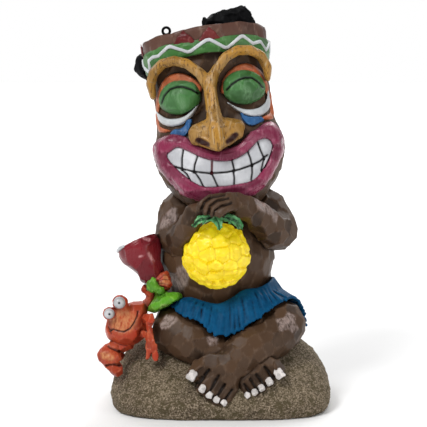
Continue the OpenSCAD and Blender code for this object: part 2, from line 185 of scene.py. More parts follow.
def finish_shading(piece, angle):
    hold(piece)
    bpy.ops.object.shade_smooth_by_angle(angle=math.radians(angle))


def nodes_for(tree):
    """Short ways to add and join nodes in a tree."""

    def add(kind, settings=None, **inputs):
        node = tree.nodes.new("ShaderNode" + kind)
        for key, value in (settings or {}).items():
            setattr(node, key, value)
        for key, value in inputs.items():
            put(node, key.replace("_", " "), value)
        return node

    def put(node, key, value):
        socket = node.inputs[int(key[1:]) if key[0] == "i" and key[1:].isdigit() else key]
        if isinstance(value, bpy.types.NodeSocket):
            tree.links.new(value, socket)
        elif isinstance(value, bpy.types.Node):
            tree.links.new(value.outputs[0], socket)
        else:
            socket.default_value = value

    return add, put


def mixed(add, factor, one, two, mode="MIX"):
    """A colour mix whose factor and colours are sockets or values."""
    node = add("Mix", {"data_type": "RGBA", "blend_type": mode, "clamp_factor": True})
    for socket, value in ((node.inputs[0], factor), (node.inputs[6], one), (node.inputs[7], two)):
        if isinstance(value, bpy.types.NodeSocket):
            node.id_data.links.new(value, socket)
        elif isinstance(value, (int, float)):
            socket.default_value = value
        else:
            socket.default_value = (*value[:3], 1)
    return node.outputs[2]


def ramped(add, value, low, high):
    """Stretches a value so that low becomes 0 and high becomes 1."""
    node = add("MapRange", {"clamp": True, "interpolation_type": "SMOOTHSTEP"})
    node.id_data.links.new(value, node.inputs[0])
    node.inputs[1].default_value = low
    node.inputs[2].default_value = high
    return node.outputs[0]


def new_paint(name):
    """A material with its shader, short ways to add and join nodes, and places on the object."""
    material, shader = set_nodes(name)
    add, put = nodes_for(material.node_tree)
    return material, shader, add, put, add("TexCoord").outputs["Object"]


mound_levels = [
    (3.6, 92, -70, 70, 0.55), (0.6, 93, -69, 69, 0.55), (0.6, 106, -82, 82, 0.55), (3, 108, -84, 84, 0.55),
    (13, 110, -86, 86, 0.55), (22, 108.5, -79, 84.5, 0.57), (30, 106, -71, 82, 0.6),
    (45, 96, -51, 74, 0.65), (57, 81, -28, 64, 0.7), (63.5, 66, -8, 48, 0.8),
]
mound = loft("base_mound", [oval(*level, 560) for level in even(mound_levels, 104)])
for lump_size, lump_rise in ((26, 2.2), (5, 1.5), (1.9, 1.1)):
    rough_up(mound, lump_size, lump_rise)
finish_shading(mound, 60)

sand_paint, sand_shader, add, put, place = new_paint("sand_paint")
grains = add("TexNoise", Vector=place, Scale=600.0, Detail=4.0, Roughness=0.75).outputs["Fac"]
clumps = add("TexNoise", Vector=place, Scale=150.0, Detail=4.0, Roughness=0.6).outputs["Fac"]
stains = add("TexNoise", Vector=place, Scale=22.0, Detail=3.0).outputs["Fac"]
colour = mixed(add, ramped(add, stains, 0.35, 0.65), (0.106, 0.079, 0.050), (0.150, 0.116, 0.072))
colour = mixed(add, ramped(add, grains, 0.50, 0.62), colour, (0.33, 0.262, 0.188))
colour = mixed(add, ramped(add, grains, 0.47, 0.38), colour, (0.030, 0.020, 0.012))
colour = mixed(add, ramped(add, clumps, 0.52, 0.36), colour, (0.075, 0.058, 0.030))
put(sand_shader, "Base Color", colour)
sand_shader.inputs["Roughness"].default_value = 0.92
sand_shader.inputs["Specular IOR Level"].default_value = 0.25
grit = add("Bump", Strength=0.8, Distance=0.0006, Height=grains)
put(sand_shader, "Normal", grit)
mound.data.materials.append(sand_paint)
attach(mound, "figure")
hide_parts("base_casting")

# ---- Base plate -----------------------------------------------------------------------------
# A flat brown moulded plate let into the mound's underside, glued to the rim round it.
plate_paint, plate_shader, add, put, place = new_paint("plate_plastic")
scuffs = add("TexNoise", Vector=place, Scale=60.0, Detail=6.0).outputs["Fac"]
scuffed = ramped(add, scuffs, 0.4, 0.65)
put(plate_shader, "Base Color", mixed(add, scuffed, (0.075, 0.050, 0.034), (0.125, 0.088, 0.060)))
put(plate_shader, "Roughness", ramped(add, scuffs, 0.0, 0.9))
put(plate_shader, "Normal", add("Bump", Strength=0.3, Distance=0.0002, Height=scuffs))


def coat(node, material):
    """Gives a CAD node a new material in place of the plain one it came with."""
    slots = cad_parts[node].material_slots
    if not slots:
        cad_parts[node].data.materials.append(material)
    for slot in slots:
        slot.material = material


coat("base_plate", plate_paint)

# ---- Torso ----------------------------------------------------------------------------------
# The hollow casting of belly, chest and neck. It was cut from clay in broad flat chips, cast in
# resin, painted dark brown and dry-brushed, with pale scrapes left on a few facets.


def ball(at, size, segments=20):
    """A lump of clay: centre and half sizes in millimetres."""
    size = size if isinstance(size, (tuple, list)) else (size, size, size)
    bpy.ops.mesh.primitive_uv_sphere_add(
        segments=segments, ring_count=segments // 2, radius=mm, location=Vector(at) * mm, scale=size)
    return bpy.context.object


def together(pieces, name):
    """Joins pieces into one object whose place is in its mesh."""
    hold(*pieces)
    if len(pieces) > 1:
        bpy.ops.object.join()
    bpy.ops.object.transform_apply(location=True, rotation=True, scale=True)
    piece = bpy.context.object
    piece.name = name
    return piece


def hulled(*lumps, segments=20):
    """One smooth lump stretched over several balls, each a centre and its half sizes."""
    lump = together([ball(at, size, segments=segments) for at, size in lumps], "lump")
    bpy.ops.object.mode_set(mode="EDIT")
    bpy.ops.mesh.select_all(action="SELECT")
    bpy.ops.mesh.convex_hull()
    bpy.ops.object.mode_set(mode="OBJECT")
    return lump


def limb(*stations, segments=20):
    """A rounded limb through a list of centres and half sizes."""
    return [hulled(a, b, segments=segments) for a, b in zip(stations, stations[1:])]


def clay(name, lumps, grain=1.3, soften=5, place=None):
    """Kneads lumps into one closed skin of small even faces."""
    piece = together(lumps, name)
    if place is not None:
        piece.data.transform(place)
    apply_modifier(piece, "REMESH", mode="VOXEL", voxel_size=grain * mm)
    apply_modifier(piece, "SMOOTH", factor=0.5, iterations=soften)
    return piece


def read_skin(piece):
    """The skin's points in millimetres, its normals, and its edges."""
    mesh = piece.data
    points = np.zeros(len(mesh.vertices) * 3)
    normals = np.zeros(len(mesh.vertices) * 3)
    edges = np.zeros(len(mesh.edges) * 2, int)
    mesh.vertices.foreach_get("co", points)
    mesh.vertices.foreach_get("normal", normals)
    mesh.edges.foreach_get("vertices", edges)
    return points.reshape(-1, 3) / mm, normals.reshape(-1, 3), edges.reshape(-1, 2)


def move_skin(piece, points):
    piece.data.vertices.foreach_set("co", (points * mm).astype(np.float32).ravel())
    piece.data.update()


def mark(piece, name, values):
    """Stores a paint mask on the skin, keeping the stronger where one is there already."""
    layer = piece.data.attributes.get(name)
    if layer is None:
        layer = piece.data.attributes.new(name, "FLOAT", "POINT")
    else:
        old = np.zeros(len(values), np.float32)
        layer.data.foreach_get("value", old)
        values = np.maximum(old, values)
    layer.data.foreach_set("value", np.asarray(values, np.float32))


def spread(values, edges, rounds):
    """Averages values between neighbouring points."""
    count = len(values)
    near = np.bincount(edges[:, 0], minlength=count) + np.bincount(edges[:, 1], minlength=count)
    for _ in range(rounds):
        total = np.bincount(edges[:, 0], values[edges[:, 1]], count)
        total += np.bincount(edges[:, 1], values[edges[:, 0]], count)
        values = 0.5 * values + 0.5 * total / np.maximum(near, 1)
    return values


def chip(piece, size, tilt=5, seed=1, stretch=(1, 1, 1), worn=(), flat=0.92, limit=3.0, where=None):
    """Cuts the skin into flat chips, like those a gouge leaves, and marks their ridges and tones."""
    points, normals, edges = read_skin(piece)
    draw = np.random.default_rng(seed)
    squeezed = points / np.array(stretch)
    seeds = []
    for i in draw.permutation(len(points))[:9000]:
        if not seeds or np.min(np.sum((np.array(seeds) - squeezed[i]) ** 2, 1)) > (0.8 * size) ** 2:
            seeds.append(squeezed[i])
    seeds = np.array(seeds)
    cell = np.concatenate([
        np.argmin(np.sum(seeds ** 2, 1)[None] - 2 * part @ seeds.T, 1)
        for part in np.array_split(squeezed, max(1, len(points) // 8000))
    ])
    count = len(seeds)
    share = np.maximum(np.bincount(cell, minlength=count), 1)[:, None]
    middle = np.stack([np.bincount(cell, points[:, k], count) for k in range(3)], 1) / share
    facing = np.stack([np.bincount(cell, normals[:, k], count) for k in range(3)], 1)
    leaning = draw.normal(0, math.tan(math.radians(tilt)), (count, 3))
    facing += leaning * np.linalg.norm(facing, axis=1)[:, None]
    facing /= np.linalg.norm(facing, axis=1)[:, None]
    slope = np.maximum(np.sum(normals * facing[cell], 1), 0.35)
    push = np.sum((middle[cell] - points) * facing[cell], 1) / slope
    push = np.clip(push, -limit, limit) * flat
    if where is not None:
        push *= where(points)
    push = spread(push, edges, 2)
    move_skin(piece, points + normals * push[:, None])
    border = np.zeros(len(points))
    across = cell[edges[:, 0]] != cell[edges[:, 1]]
    border[edges[across].ravel()] = 1
    mark(piece, "ridge", np.clip(spread(border, edges, 2) * 1.6, 0, 1))
    mark(piece, "tone", draw.random(count)[cell])
    scraped = np.zeros(count)
    for x, y, z, reach in worn:
        scraped = np.maximum(scraped, np.linalg.norm(middle - np.array([x, y, z]), axis=1) < reach)
    mark(piece, "worn", spread(scraped[cell], edges, 2))


def read_mask(add, name):
    return add("Attribute", {"attribute_name": name}).outputs["Fac"]


def product(add, one, two):
    return add("Math", {"operation": "MULTIPLY"}, i0=one, i1=two).outputs[0]


def resin(name, body, light, dark, patch_and_gleam_colour=None, gloss=0.45, brush=0.55, wash_and_shade=0.8, depth=5.0,
        spot=(0, 0, 0), fibre=0.0, vary=0.25, shine=0.25):
    """Hand-painted resin: a tone for each facet, dry-brushed ridges, marked pale patches and painted
    highlights, and hollows darkened as washed-in paint and painted shade.
    """
    material, shader, add, put, place = new_paint(name)
    tone, ridge, worn, ink = (read_mask(add, mask) for mask in ("tone", "ridge", "worn", "ink"))
    patches = add("TexNoise", Vector=place, Scale=42.0, Detail=3.0, Roughness=0.6).outputs["Fac"]
    drawn_out = add("Mapping", Vector=place, Scale=(1.0, 1.0, 0.25))
    strokes = add("TexNoise", Vector=drawn_out, Scale=380.0, Detail=5.0, Roughness=0.7).outputs["Fac"]
    deep, bright = (tuple(part * c for c in body) for part in (1 - vary, 1 + vary))
    colour = mixed(add, ramped(add, tone, 0.0, 1.0), deep, bright)
    thinned = tuple(0.75 * b + 0.25 * l for b, l in zip(body, light))
    colour = mixed(add, ramped(add, patches, 0.40, 0.72), colour, thinned)
    dry = product(add, product(add, ramped(add, strokes, 0.42, 0.68), ridge), brush)
    colour = mixed(add, dry, colour, light)
    # Marked patches take the patch colour: pale scrapes and paint on some pieces, painted highlights on others.
    patch_and_gleam_mix = product(add, product(add, ramped(add, strokes, 0.30, 0.64), worn), 0.85)
    colour = mixed(add, patch_and_gleam_mix, colour, patch_and_gleam_colour or light)
    if fibre:
        thin = add("Mapping", Vector=place, Scale=(1.0, 1.0, 0.10))
        fibres = add("TexNoise", Vector=thin, Scale=520.0, Detail=3.0, Roughness=0.7).outputs["Fac"]
        colour = mixed(add, product(add, ramped(add, fibres, 0.52, 0.64), fibre), colour, dark)
    # The hollows darken towards the dark colour by how closed in they are: dark paint washed into them, and
    # painted shade.
    hollow = add("AmbientOcclusion", {"samples": 8}, Distance=depth * mm).outputs["AO"]
    wash_and_shade_mix = add("MapRange", {"clamp": True}, i0=hollow, i1=0.85, i2=0.30, i3=0.0, i4=wash_and_shade)
    colour = mixed(add, wash_and_shade_mix.outputs[0], colour, dark)
    # Marked lines go near-black; on the skirt the marked hollows between blades are painted shade.
    colour = mixed(add, ink, colour, tuple(0.3 * c for c in dark))
    colour = mixed(add, read_mask(add, "spot"), colour, spot)
    put(shader, "Base Color", colour)
    sheen = add("MapRange", {"clamp": True}, i0=strokes, i1=0.3, i2=0.7, i3=gloss - 0.08, i4=gloss + 0.12)
    put(shader, "Roughness", sheen)
    shader.inputs["Specular IOR Level"].default_value = shine
    put(shader, "Normal", add("Bump", Strength=0.35, Distance=0.00025, Height=strokes))
    return material


def seat(piece, material, slot, *nodes, angle=50):
    """Paints a finished piece, puts it on the figure, and lets it stand for its CAD nodes."""
    piece.data.materials.clear()
    piece.data.materials.append(material)
    finish_shading(piece, angle)
    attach(piece, "figure")
    if nodes:
        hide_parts(*nodes)


skin = (0.056, 0.029, 0.0145)
skin_light = (0.130, 0.081, 0.052)
skin_scrape = (0.340, 0.260, 0.235)
skin_dark = (0.014, 0.007, 0.004)
skin_paint = resin("skin_paint", skin, skin_light, skin_dark, skin_scrape, vary=0.42, brush=0.65, shine=0.2)

torso = clay("torso", [
    ball((-4.5, 8, 148), (58.5, 51, 50), segments=40),
    hulled(((-4, 16, 92), (54, 42, 26)), ((-4, 10, 130), (54, 46, 30)), segments=32),
    hulled(((-4, 8, 162), (50, 42, 30)), ((-37, 10, 188), 20), ((36, 10, 189), 22), segments=28),
    hulled(((-4, 8, 190), (34, 28, 20)), ((-1, 2, 212), (30, 26, 12)), segments=28),
], grain=1.5, soften=14)
belly_scrapes = [(-42, -26, 132, 9), (8, -44, 116, 9), (-20, -40, 122, 8)]
chip(torso, 15, seed=3, stretch=(1, 1, 1.25), worn=belly_scrapes)

# The well in the back that the solar unit drops into, cut square through the chips
unit_low, unit_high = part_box("solar_housing")
well_gap = 0.4 * mm
well_depth = 60 * mm
bpy.ops.mesh.primitive_cube_add(size=1)
well = bpy.context.object
well.scale = (unit_high.x - unit_low.x + 2 * well_gap, well_depth, unit_high.z - unit_low.z + 2 * well_gap)
well.location = (unit_low + unit_high) / 2
well.location.y = unit_low.y - well_gap + well_depth / 2
apply_modifier(torso, "BOOLEAN", object=well, operation="DIFFERENCE", solver="EXACT")
bpy.data.objects.remove(well)
seat(torso, skin_paint, "skin_resin", "torso_casting")

# ---- Legs, feet and toenails ----------------------------------------------------------------
# Two solid castings bonded to the mound, crossed at the shins. Each toe is rounded over and parted
# from the next by a knife cut, and carries a nail painted off-white.


def cut(piece, path, width, depth, mask=None, strength=1.0, through=None):
    """A rounded groove along a path. Given a direction to go through, it falls on the facing skin."""
    points, normals, _ = read_skin(piece)
    path = np.array(path, float)
    spots = points
    if through is not None:
        through = np.array(through, float)
        spots = points - np.outer(points @ through, through)
        path = path - np.outer(path @ through, through)
    away = np.full(len(points), 1e9)
    for a, b in zip(path, path[1:]):
        run = b - a
        along = np.clip(((spots - a) @ run) / max(run @ run, 1e-9), 0, 1)
        away = np.minimum(away, np.linalg.norm(spots - (a + along[:, None] * run), axis=1))
    fall = np.clip(1 - away / width, 0, 1)
    fall = fall * fall * (3 - 2 * fall)
    if through is not None:
        fall *= normals @ through < -0.05
    move_skin(piece, points - normals * (depth * fall)[:, None])
    if mask:
        mark(piece, mask, np.clip(fall * 1.8 - 0.45, 0, 1) * strength)


left_leg = clay("left_leg_casting", [
    *limb(((31, 18, 86), 27), ((60, -26, 82), 24), ((52, -40, 74), 21), ((24, -54, 62), 21),
        ((8, -64, 50), 17)),
    hulled(((8, -64, 50), 17), ((-13, -64, 50), (9, 9, 9)), ((6, -72, 33), (9, 9, 8))),
    *limb(((-10, -64, 54), 9), ((-20, -67, 48), 8.5), ((-27, -69, 43), 7.5)),
    *limb(((-6, -68, 45), 7.5), ((-14, -73, 36), 6.5), ((-19, -76, 30), 5.8)),
    *limb(((0, -70, 39), 7), ((-7, -76, 30), 6.2), ((-12, -79, 24.5), 5.6)),
    *limb(((5, -71, 35), 6.5), ((-1, -78, 26), 6), ((-5.5, -81, 20.5), 5.3)),
    *limb(((11, -71, 32), 6.5), ((6, -78, 23), 5.6), ((2, -81.5, 17.5), 5)),
], grain=1.1, soften=5)
left_knee_scrapes = [(66, -50, 90, 9), (70, -46, 82, 7), (-4, -76, 60, 6), (38, -70, 78, 6)]
chip(left_leg, 12, seed=5, limit=2.2, worn=left_knee_scrapes,
     where=lambda p: np.where((p[:, 2] < 42) & (p[:, 0] < 12), 0.35, 1.0))
left_toe_gaps = [
    ((-12, -74, 48), (-21, -82, 37), (-25, -84, 32)), ((-3, -78, 43), (-11, -84, 30), (-15, -86, 25)),
    ((3, -80, 35), (-4, -86, 25), (-8, -88, 20)), ((11, -80, 30), (3, -87, 21), (0, -88, 17)),
]
for crease in left_toe_gaps:
    cut(left_leg, crease, 2.4, 2.6, mask="ink", strength=0.9, through=(0, 1, 0))
seat(left_leg, skin_paint, "skin_resin", "left_leg")

right_leg = clay("right_leg_casting", [
    *limb(((-35, 18, 86), 27), ((-44, -26, 76), 25), ((-26, -40, 67), 21), ((10, -48, 50), 18)),
    hulled(((10, -48, 48), 17), ((42, -58, 50), (10, 9, 10)), ((24, -66, 35), (9, 9, 8))),
    *limb(((42, -58, 52), 8.5), ((50, -62, 49), 8), ((55, -64, 45), 7)),
    *limb(((36, -60, 47), 7.5), ((43, -65, 40), 6.4), ((47, -68, 35.5), 5.6)),
    *limb(((30, -62, 42), 7), ((36, -68, 34), 6), ((39.5, -71, 29.5), 5.2)),
    *limb(((25, -63, 38), 6.5), ((30, -70, 30), 5.6), ((33, -73, 26), 5)),
    *limb(((18, -63, 34), 6.5), ((23, -71, 27), 5.2), ((26, -74, 23.5), 4.6)),
], grain=1.1, soften=5)
right_knee_scrapes = [(-54, -46, 90, 8), (-55, -46, 84, 7), (-12, -60, 74, 7)]
chip(right_leg, 12, seed=8, limit=2.2, worn=right_knee_scrapes,
     where=lambda p: np.where((p[:, 2] < 46) & (p[:, 0] > 16), 0.35, 1.0))
right_toe_gaps = [
    ((42, -70, 50), (48, -74, 42), (52, -75, 38)), ((34, -72, 43), (41, -78, 34), (44, -78, 31)),
    ((28, -74, 39), (34, -80, 30), (37, -80, 27)), ((22, -74, 34), (28, -80, 27), (30, -80, 24)),
]
for crease in right_toe_gaps:
    cut(right_leg, crease, 2.3, 2.4, mask="ink", strength=0.9, through=(0, 1, 0))
seat(right_leg, skin_paint, "skin_resin", "right_leg")

nail_paint = resin("nail_paint", (0.60, 0.56, 0.54), (0.75, 0.72, 0.70), (0.16, 0.12, 0.10), gloss=0.3,
    wash_and_shade=0.5, depth=2.0)
nail_places = [
    ((-28.5, -78.2, 43.2), 3.4, 4.2, 35), ((-18.5, -82.5, 31.5), 2.1, 2.7, 30),
    ((-11.4, -85.6, 26), 2.0, 2.2, 30), ((-4.6, -87, 22), 1.9, 2.0, 35), ((2.4, -87.2, 19), 1.7, 1.7, 40),
    ((56, -72.5, 43.6), 3.5, 4.2, -35), ((46.4, -75, 36.5), 2.3, 2.7, -30),
    ((38.8, -77.6, 31), 2.0, 2.2, -30), ((32.2, -79.4, 27.4), 1.9, 2.0, -35),
    ((25.2, -80, 24.6), 1.6, 1.7, -40),
]
nails = []
for at, half_w, half_h, lean in nail_places:
    c, s = math.cos(math.radians(lean)), math.sin(math.radians(lean))
    corners = []
    for dx, dz in ((-1, -0.75), (1, -0.75), (-0.8, 1), (0.8, 1)):
        x, z = dx * half_w, dz * half_h
        corner = (at[0] + c * x + s * z, at[1] + 0.35 * z + 0.2, at[2] - s * x + c * z)
        corners.append((corner, (1.2, 1.9, 1.2)))
    nails.append(hulled(*corners, segments=12))
toenails = clay("toenails", nails, grain=0.5, soften=2)
chip(toenails, 3.2, tilt=4, seed=2, limit=0.5)
seat(toenails, nail_paint, "skin_resin")

# ---- Grass skirt ----------------------------------------------------------------------------
# A resin skirt modelled strand by strand: overlapping blades that start at the belly, lie over the
# thighs and flare behind the left knee. It is painted deep blue with lighter blade backs.
waist = np.array([
    (-43, -22, 107), (-30, -33, 110), (-17, -38, 107), (-3, -40, 105), (10, -38, 110), (23, -35, 118),
    (37, -29, 119), (47, -19, 122), (52, -4, 124), (52, 14, 122), (45, 30, 118), (30, 42, 114),
    (0, 50, 112), (-32, 44, 112), (-54, 27, 112), (-55, 6, 110), (-51, -10, 108)], float)
hem = np.array([
    (-46, -36, 102), (-39, -46, 98), (-21, -55, 92), (-5, -60, 80), (11, -59, 81), (30, -56, 92),
    (47, -46, 103), (61, -35, 109), (74, -17, 107), (83, 0, 90), (84, 20, 74), (60, 50, 80),
    (10, 70, 84), (-38, 62, 86), (-60, 34, 88), (-58, 8, 94), (-55, -14, 101)], float)


def smooth_step(a, b, c, d, t):
    """A smooth way from b to c that keeps the direction given by a and d."""
    return 0.5 * (2 * b + (c - a) * t + (2 * a - 5 * b + 4 * c - d) * t ** 2
        + (3 * b - a - 3 * c + d) * t ** 3)


def round_trip(points, at):
    """A smooth closed curve through the points. The place runs from 0 to 1."""
    count = len(points)
    step = at * count
    i = int(step) % count
    return smooth_step(*(points[(i + k) % count] for k in (-1, 0, 1, 2)), step - int(step))


draw = np.random.default_rng(11)
blades = []
blade_count = 140
for k in range(blade_count):
    start = round_trip(waist, k / blade_count)
    end = round_trip(hem, (k + draw.uniform(-0.35, 0.35)) / blade_count)
    droop = np.clip((start[0] - 34) / 14, 0, 1)
    middle = (start + end) / 2 + np.array([-4.0 * droop, 0, 3.0 - 5.0 * droop]) + draw.normal(0, 0.7, 3)
    out = (end - start) * draw.uniform(-0.05, 0.06)
    lift = draw.uniform(-0.8, 1.1)
    blades += limb(
        (start, (2.0, 2.4, 1.6)), (middle + (0, 0, lift), 2.5), (end + out + (0, 0, lift), 1.7), segments=8)
skirt = clay("skirt_casting", blades, grain=0.95, soften=1)
points, normals, edges = read_skin(skirt)
blurred = np.stack([spread(points[:, k], edges, 14) for k in range(3)], 1)
raised = np.clip(0.5 + 1.3 * np.sum((points - blurred) * normals, 1), 0, 1)
# Raised blade backs are marked for dry-brushing, and the hollows between blades are marked near-black as
# painted shade.
mark(skirt, "ridge", raised)
mark(skirt, "ink", np.clip(0.95 - 2.4 * raised, 0, 1))
skirt_paint = resin("skirt_paint", (0.003, 0.060, 0.150), (0.006, 0.105, 0.240), (0.001, 0.005, 0.022),
    brush=0.6, wash_and_shade=0.9, gloss=0.45, depth=3.5, shine=0.05)
seat(skirt, skirt_paint, "skirt_resin", "skirt")

# ---- Head -----------------------------------------------------------------------------------
# The head is one tall hollow casting, leaning to the crab's side and tipped back. It narrows above
# a wide jaw, and its brown sides are cut in long upright chips.
head_place = (
    Matrix.Translation(Vector((8, -4, 185)) * mm)
    @ Matrix.Rotation(math.radians(-8), 4, "Y")
    @ Matrix.Rotation(math.radians(-10), 4, "X")
)
head_levels = [
    (6, 22, -33, 18), (14, 34, -42, 24), (30, 50, -50, 32), (44, 58, -52, 36), (58, 63.5, -53, 38),
    (70, 65, -53, 38), (80, 63, -52, 38), (96, 57.5, -49, 40), (182, 58, -46, 40),
]
head_square = 0.75


def head_front(x, z):
    """How far forward the bare head's front lies, in the head's own millimetres."""
    z = np.clip(z, head_levels[0][0], head_levels[-1][0])
    heights = [level[0] for level in head_levels]
    half_w, front, back = (np.interp(z, heights, [level[k] for level in head_levels]) for k in (1, 2, 3))
    side = np.clip(np.abs(x) / half_w, 0, 0.985)
    bow = (1 - side ** (2 / head_square)) ** (head_square / 2)
    return (front + back) / 2 - (back - front) / 2 * bow


head = loft("head", [oval(*level, head_square, 250) for level in even(head_levels, 120)], head_place)
apply_modifier(head, "REMESH", mode="VOXEL", voxel_size=1.4 * mm)
apply_modifier(head, "SMOOTH", factor=0.5, iterations=10)


def in_head(points):
    """Takes points in the head's own millimetres into the figure's."""
    turn = np.array(head_place.to_3x3())
    return np.asarray(points, float) @ turn.T + np.array(head_place.translation) / mm


def hollow_out(piece, at, size, depth):
    """Presses a soft oval hollow into the skin."""
    points = read_skin(piece)[0]
    away = np.linalg.norm((points - at) / np.array(size), axis=1)
    fall = np.clip(1 - away, 0, 1)
    move_skin(piece, points + np.array([0, 1, 0]) * (depth * fall * fall * (3 - 2 * fall))[:, None])


for side in (-1, 1):
    hollow_out(head, in_head((side * 33, -46, 128)), (30, 26, 30), 6)
    hollow_out(head, in_head((side * 14, -50, 90)), (16, 20, 26), 5)
chip(head, 13, seed=12, stretch=(1, 1, 1.7), limit=2.5)
for side, tops in ((-1, (-60, -54, -47)), (1, (60, 54, 47))):
    for x in tops:
        down = [(x, head_front(x, z), z) for z in (96, 82, 66, 48, 30)]
        cut(head, in_head(down), 1.6, 0.7)
seat(head, skin_paint, "skin_resin", "head_casting")

# ---- Brow and nose --------------------------------------------------------------------------
# One ochre-painted piece bonded over the face: two arched brows that run down into a long ridged
# nose with round nostrils. Fine knife lines imitate wood grain.
brow_lumps = []
for side in (-1, 1):
    rise = 1.5 if side > 0 else 0
    brow_lumps += limb(
        ((0, -58, 127 + rise), (6.5, 7, 8)), ((side * 8, -58, 141 + rise), (4.6, 6.5, 5)),
        ((side * 19, -57, 152 + rise), (4.3, 6.5, 4.4)), ((side * 31, -55, 157 + rise), (4.3, 7, 4.3)),
        ((side * 43, -51, 156 + rise), (4.3, 7.5, 4.4)), ((side * 53, -44, 149.5 + rise), (4.4, 8, 4.8)),
        ((side * 57.5, -37, 139 + rise), (4.2, 8, 5.5)), ((side * 57, -34, 129 + rise), (3, 6, 4)),
        segments=20)
    brow_lumps += [
        hulled(((side * 6, -60, 88), (7, 11, 8)), ((side * 19.5, -57, 84), (8.2, 10, 8.4)), segments=24),
        hulled(((0, -63, 84), (7, 11, 8)), ((side * 19, -58, 83), (7.5, 11, 8)), segments=24),
        hulled(((side * 19.5, -57, 84), (8.2, 10, 8.4)), ((side * 19.5, -60, 79), (6.5, 9, 6.5)), segments=24),
        hulled(((side * 19, -60, 80), (6.5, 9, 6.5)), ((side * 5, -68, 70), (4, 8, 5)), segments=20),
    ]
brow_lumps += [
    hulled(((0, -58, 130), (6.2, 8, 6)), ((0, -61, 108), (6.4, 10, 6)), segments=24),
    hulled(((0, -61, 108), (6.4, 10, 6)), ((0, -66, 84), (8.5, 13, 8)), segments=24),
    hulled(((0, -66, 84), (8.5, 13, 8)), ((0, -69, 68), (5.5, 10, 5.5)), segments=24),
]
brow = clay("brow_casting", brow_lumps, grain=0.9, soften=5, place=head_place)
facing_in = np.array(head_place.to_3x3())[:, 1]
for side in (-1, 1):
    hollow_out(brow, in_head((side * 15.5, -72, 73)), (7.5, 18, 5), 5)
    # Each nostril is marked near-black, as painted shade in its hollow.
    nostril = [(side * x, -70, z) for x, z in ((10, 70.5), (14, 73), (18.5, 76.5))]
    cut(brow, in_head(nostril), 5.2, 1.0, mask="spot", through=facing_in)
chip(brow, 13, seed=21, stretch=(1, 1, 2.2), tilt=3, limit=0.8, flat=0.55)
cut(brow, in_head([(0, -78, 70), (0, -78, 60)]), 2.0, 1.4, mask="ink", strength=0.5, through=facing_in)
# Raised lines on the nose, painted pale as painted highlights.
for x, high, low in ((-4, 118, 70), (3.5, 124, 74), (-12, 90, 82), (16, 92, 84)):
    ridge_line = in_head([(x, -72, high), (x * 0.8, -76, low)])
    cut(brow, ridge_line, 1.6, -0.5, mask="worn", strength=0.7, through=facing_in)
brow_paint = resin(
    "brow_paint", (0.330, 0.165, 0.026), (0.450, 0.330, 0.190), (0.050, 0.020, 0.008), (0.560, 0.400, 0.220),
    gloss=0.36, brush=0.9, wash_and_shade=0.9, depth=4.0, spot=(0.030, 0.006, 0.004), fibre=0.75)
seat(brow, brow_paint, "brow_resin", "brow_and_nose")

# ---- Painted reliefs of the eyes ------------------------------------------------------------
# Raised shapes cast with the face and picked out in colour: an orange surround and a green closed
# lid for each eye, a white crescent below it and a short blue mark on the cheek.


def on_face(line, lift=0.0):
    """A line drawn on the face from across and height, for a cut that goes straight in."""
    return in_head([(x, -58, z + lift) for x, z in line])


def smooth_outline(points, step):
    """A closed smooth outline through a few given points, in even steps."""
    points = np.array(points, float)
    count = 24 * len(points)
    trip = np.array([round_trip(points, k / count) for k in range(count)])
    along = np.concatenate([[0], np.cumsum(np.linalg.norm(np.roll(trip, -1, 0) - trip, axis=1))])
    closed = np.vstack([trip, trip[:1]])
    at = np.linspace(0, along[-1], max(8, int(along[-1] / step)), endpoint=False)
    return np.stack([np.interp(at, along, closed[:, k]) for k in range(2)], 1)


def inside(outline, spots):
    """Which spots lie inside a closed outline."""
    a, b = outline, np.roll(outline, -1, 0)
    x, z = spots[:, :1], spots[:, 1:]
    over = (a[:, 1] > z) != (b[:, 1] > z)
    with np.errstate(divide="ignore", invalid="ignore"):
        cross = x < (b[:, 0] - a[:, 0]) * (z - a[:, 1]) / (b[:, 1] - a[:, 1]) + a[:, 0]
    return np.sum(over & cross, 1) % 2 == 1


def off_edge(outline, spots):
    """How far spots lie from an outline."""
    a, b = outline, np.roll(outline, -1, 0)
    run = b - a
    length = np.maximum(np.sum(run * run, 1), 1e-9)
    best = np.full(len(spots), 1e9)
    for start, step, size in zip(a, run, length):
        along = np.clip((spots - start) @ step / size, 0, 1)
        best = np.minimum(best, np.linalg.norm(spots - start - along[:, None] * step, axis=1))
    return best


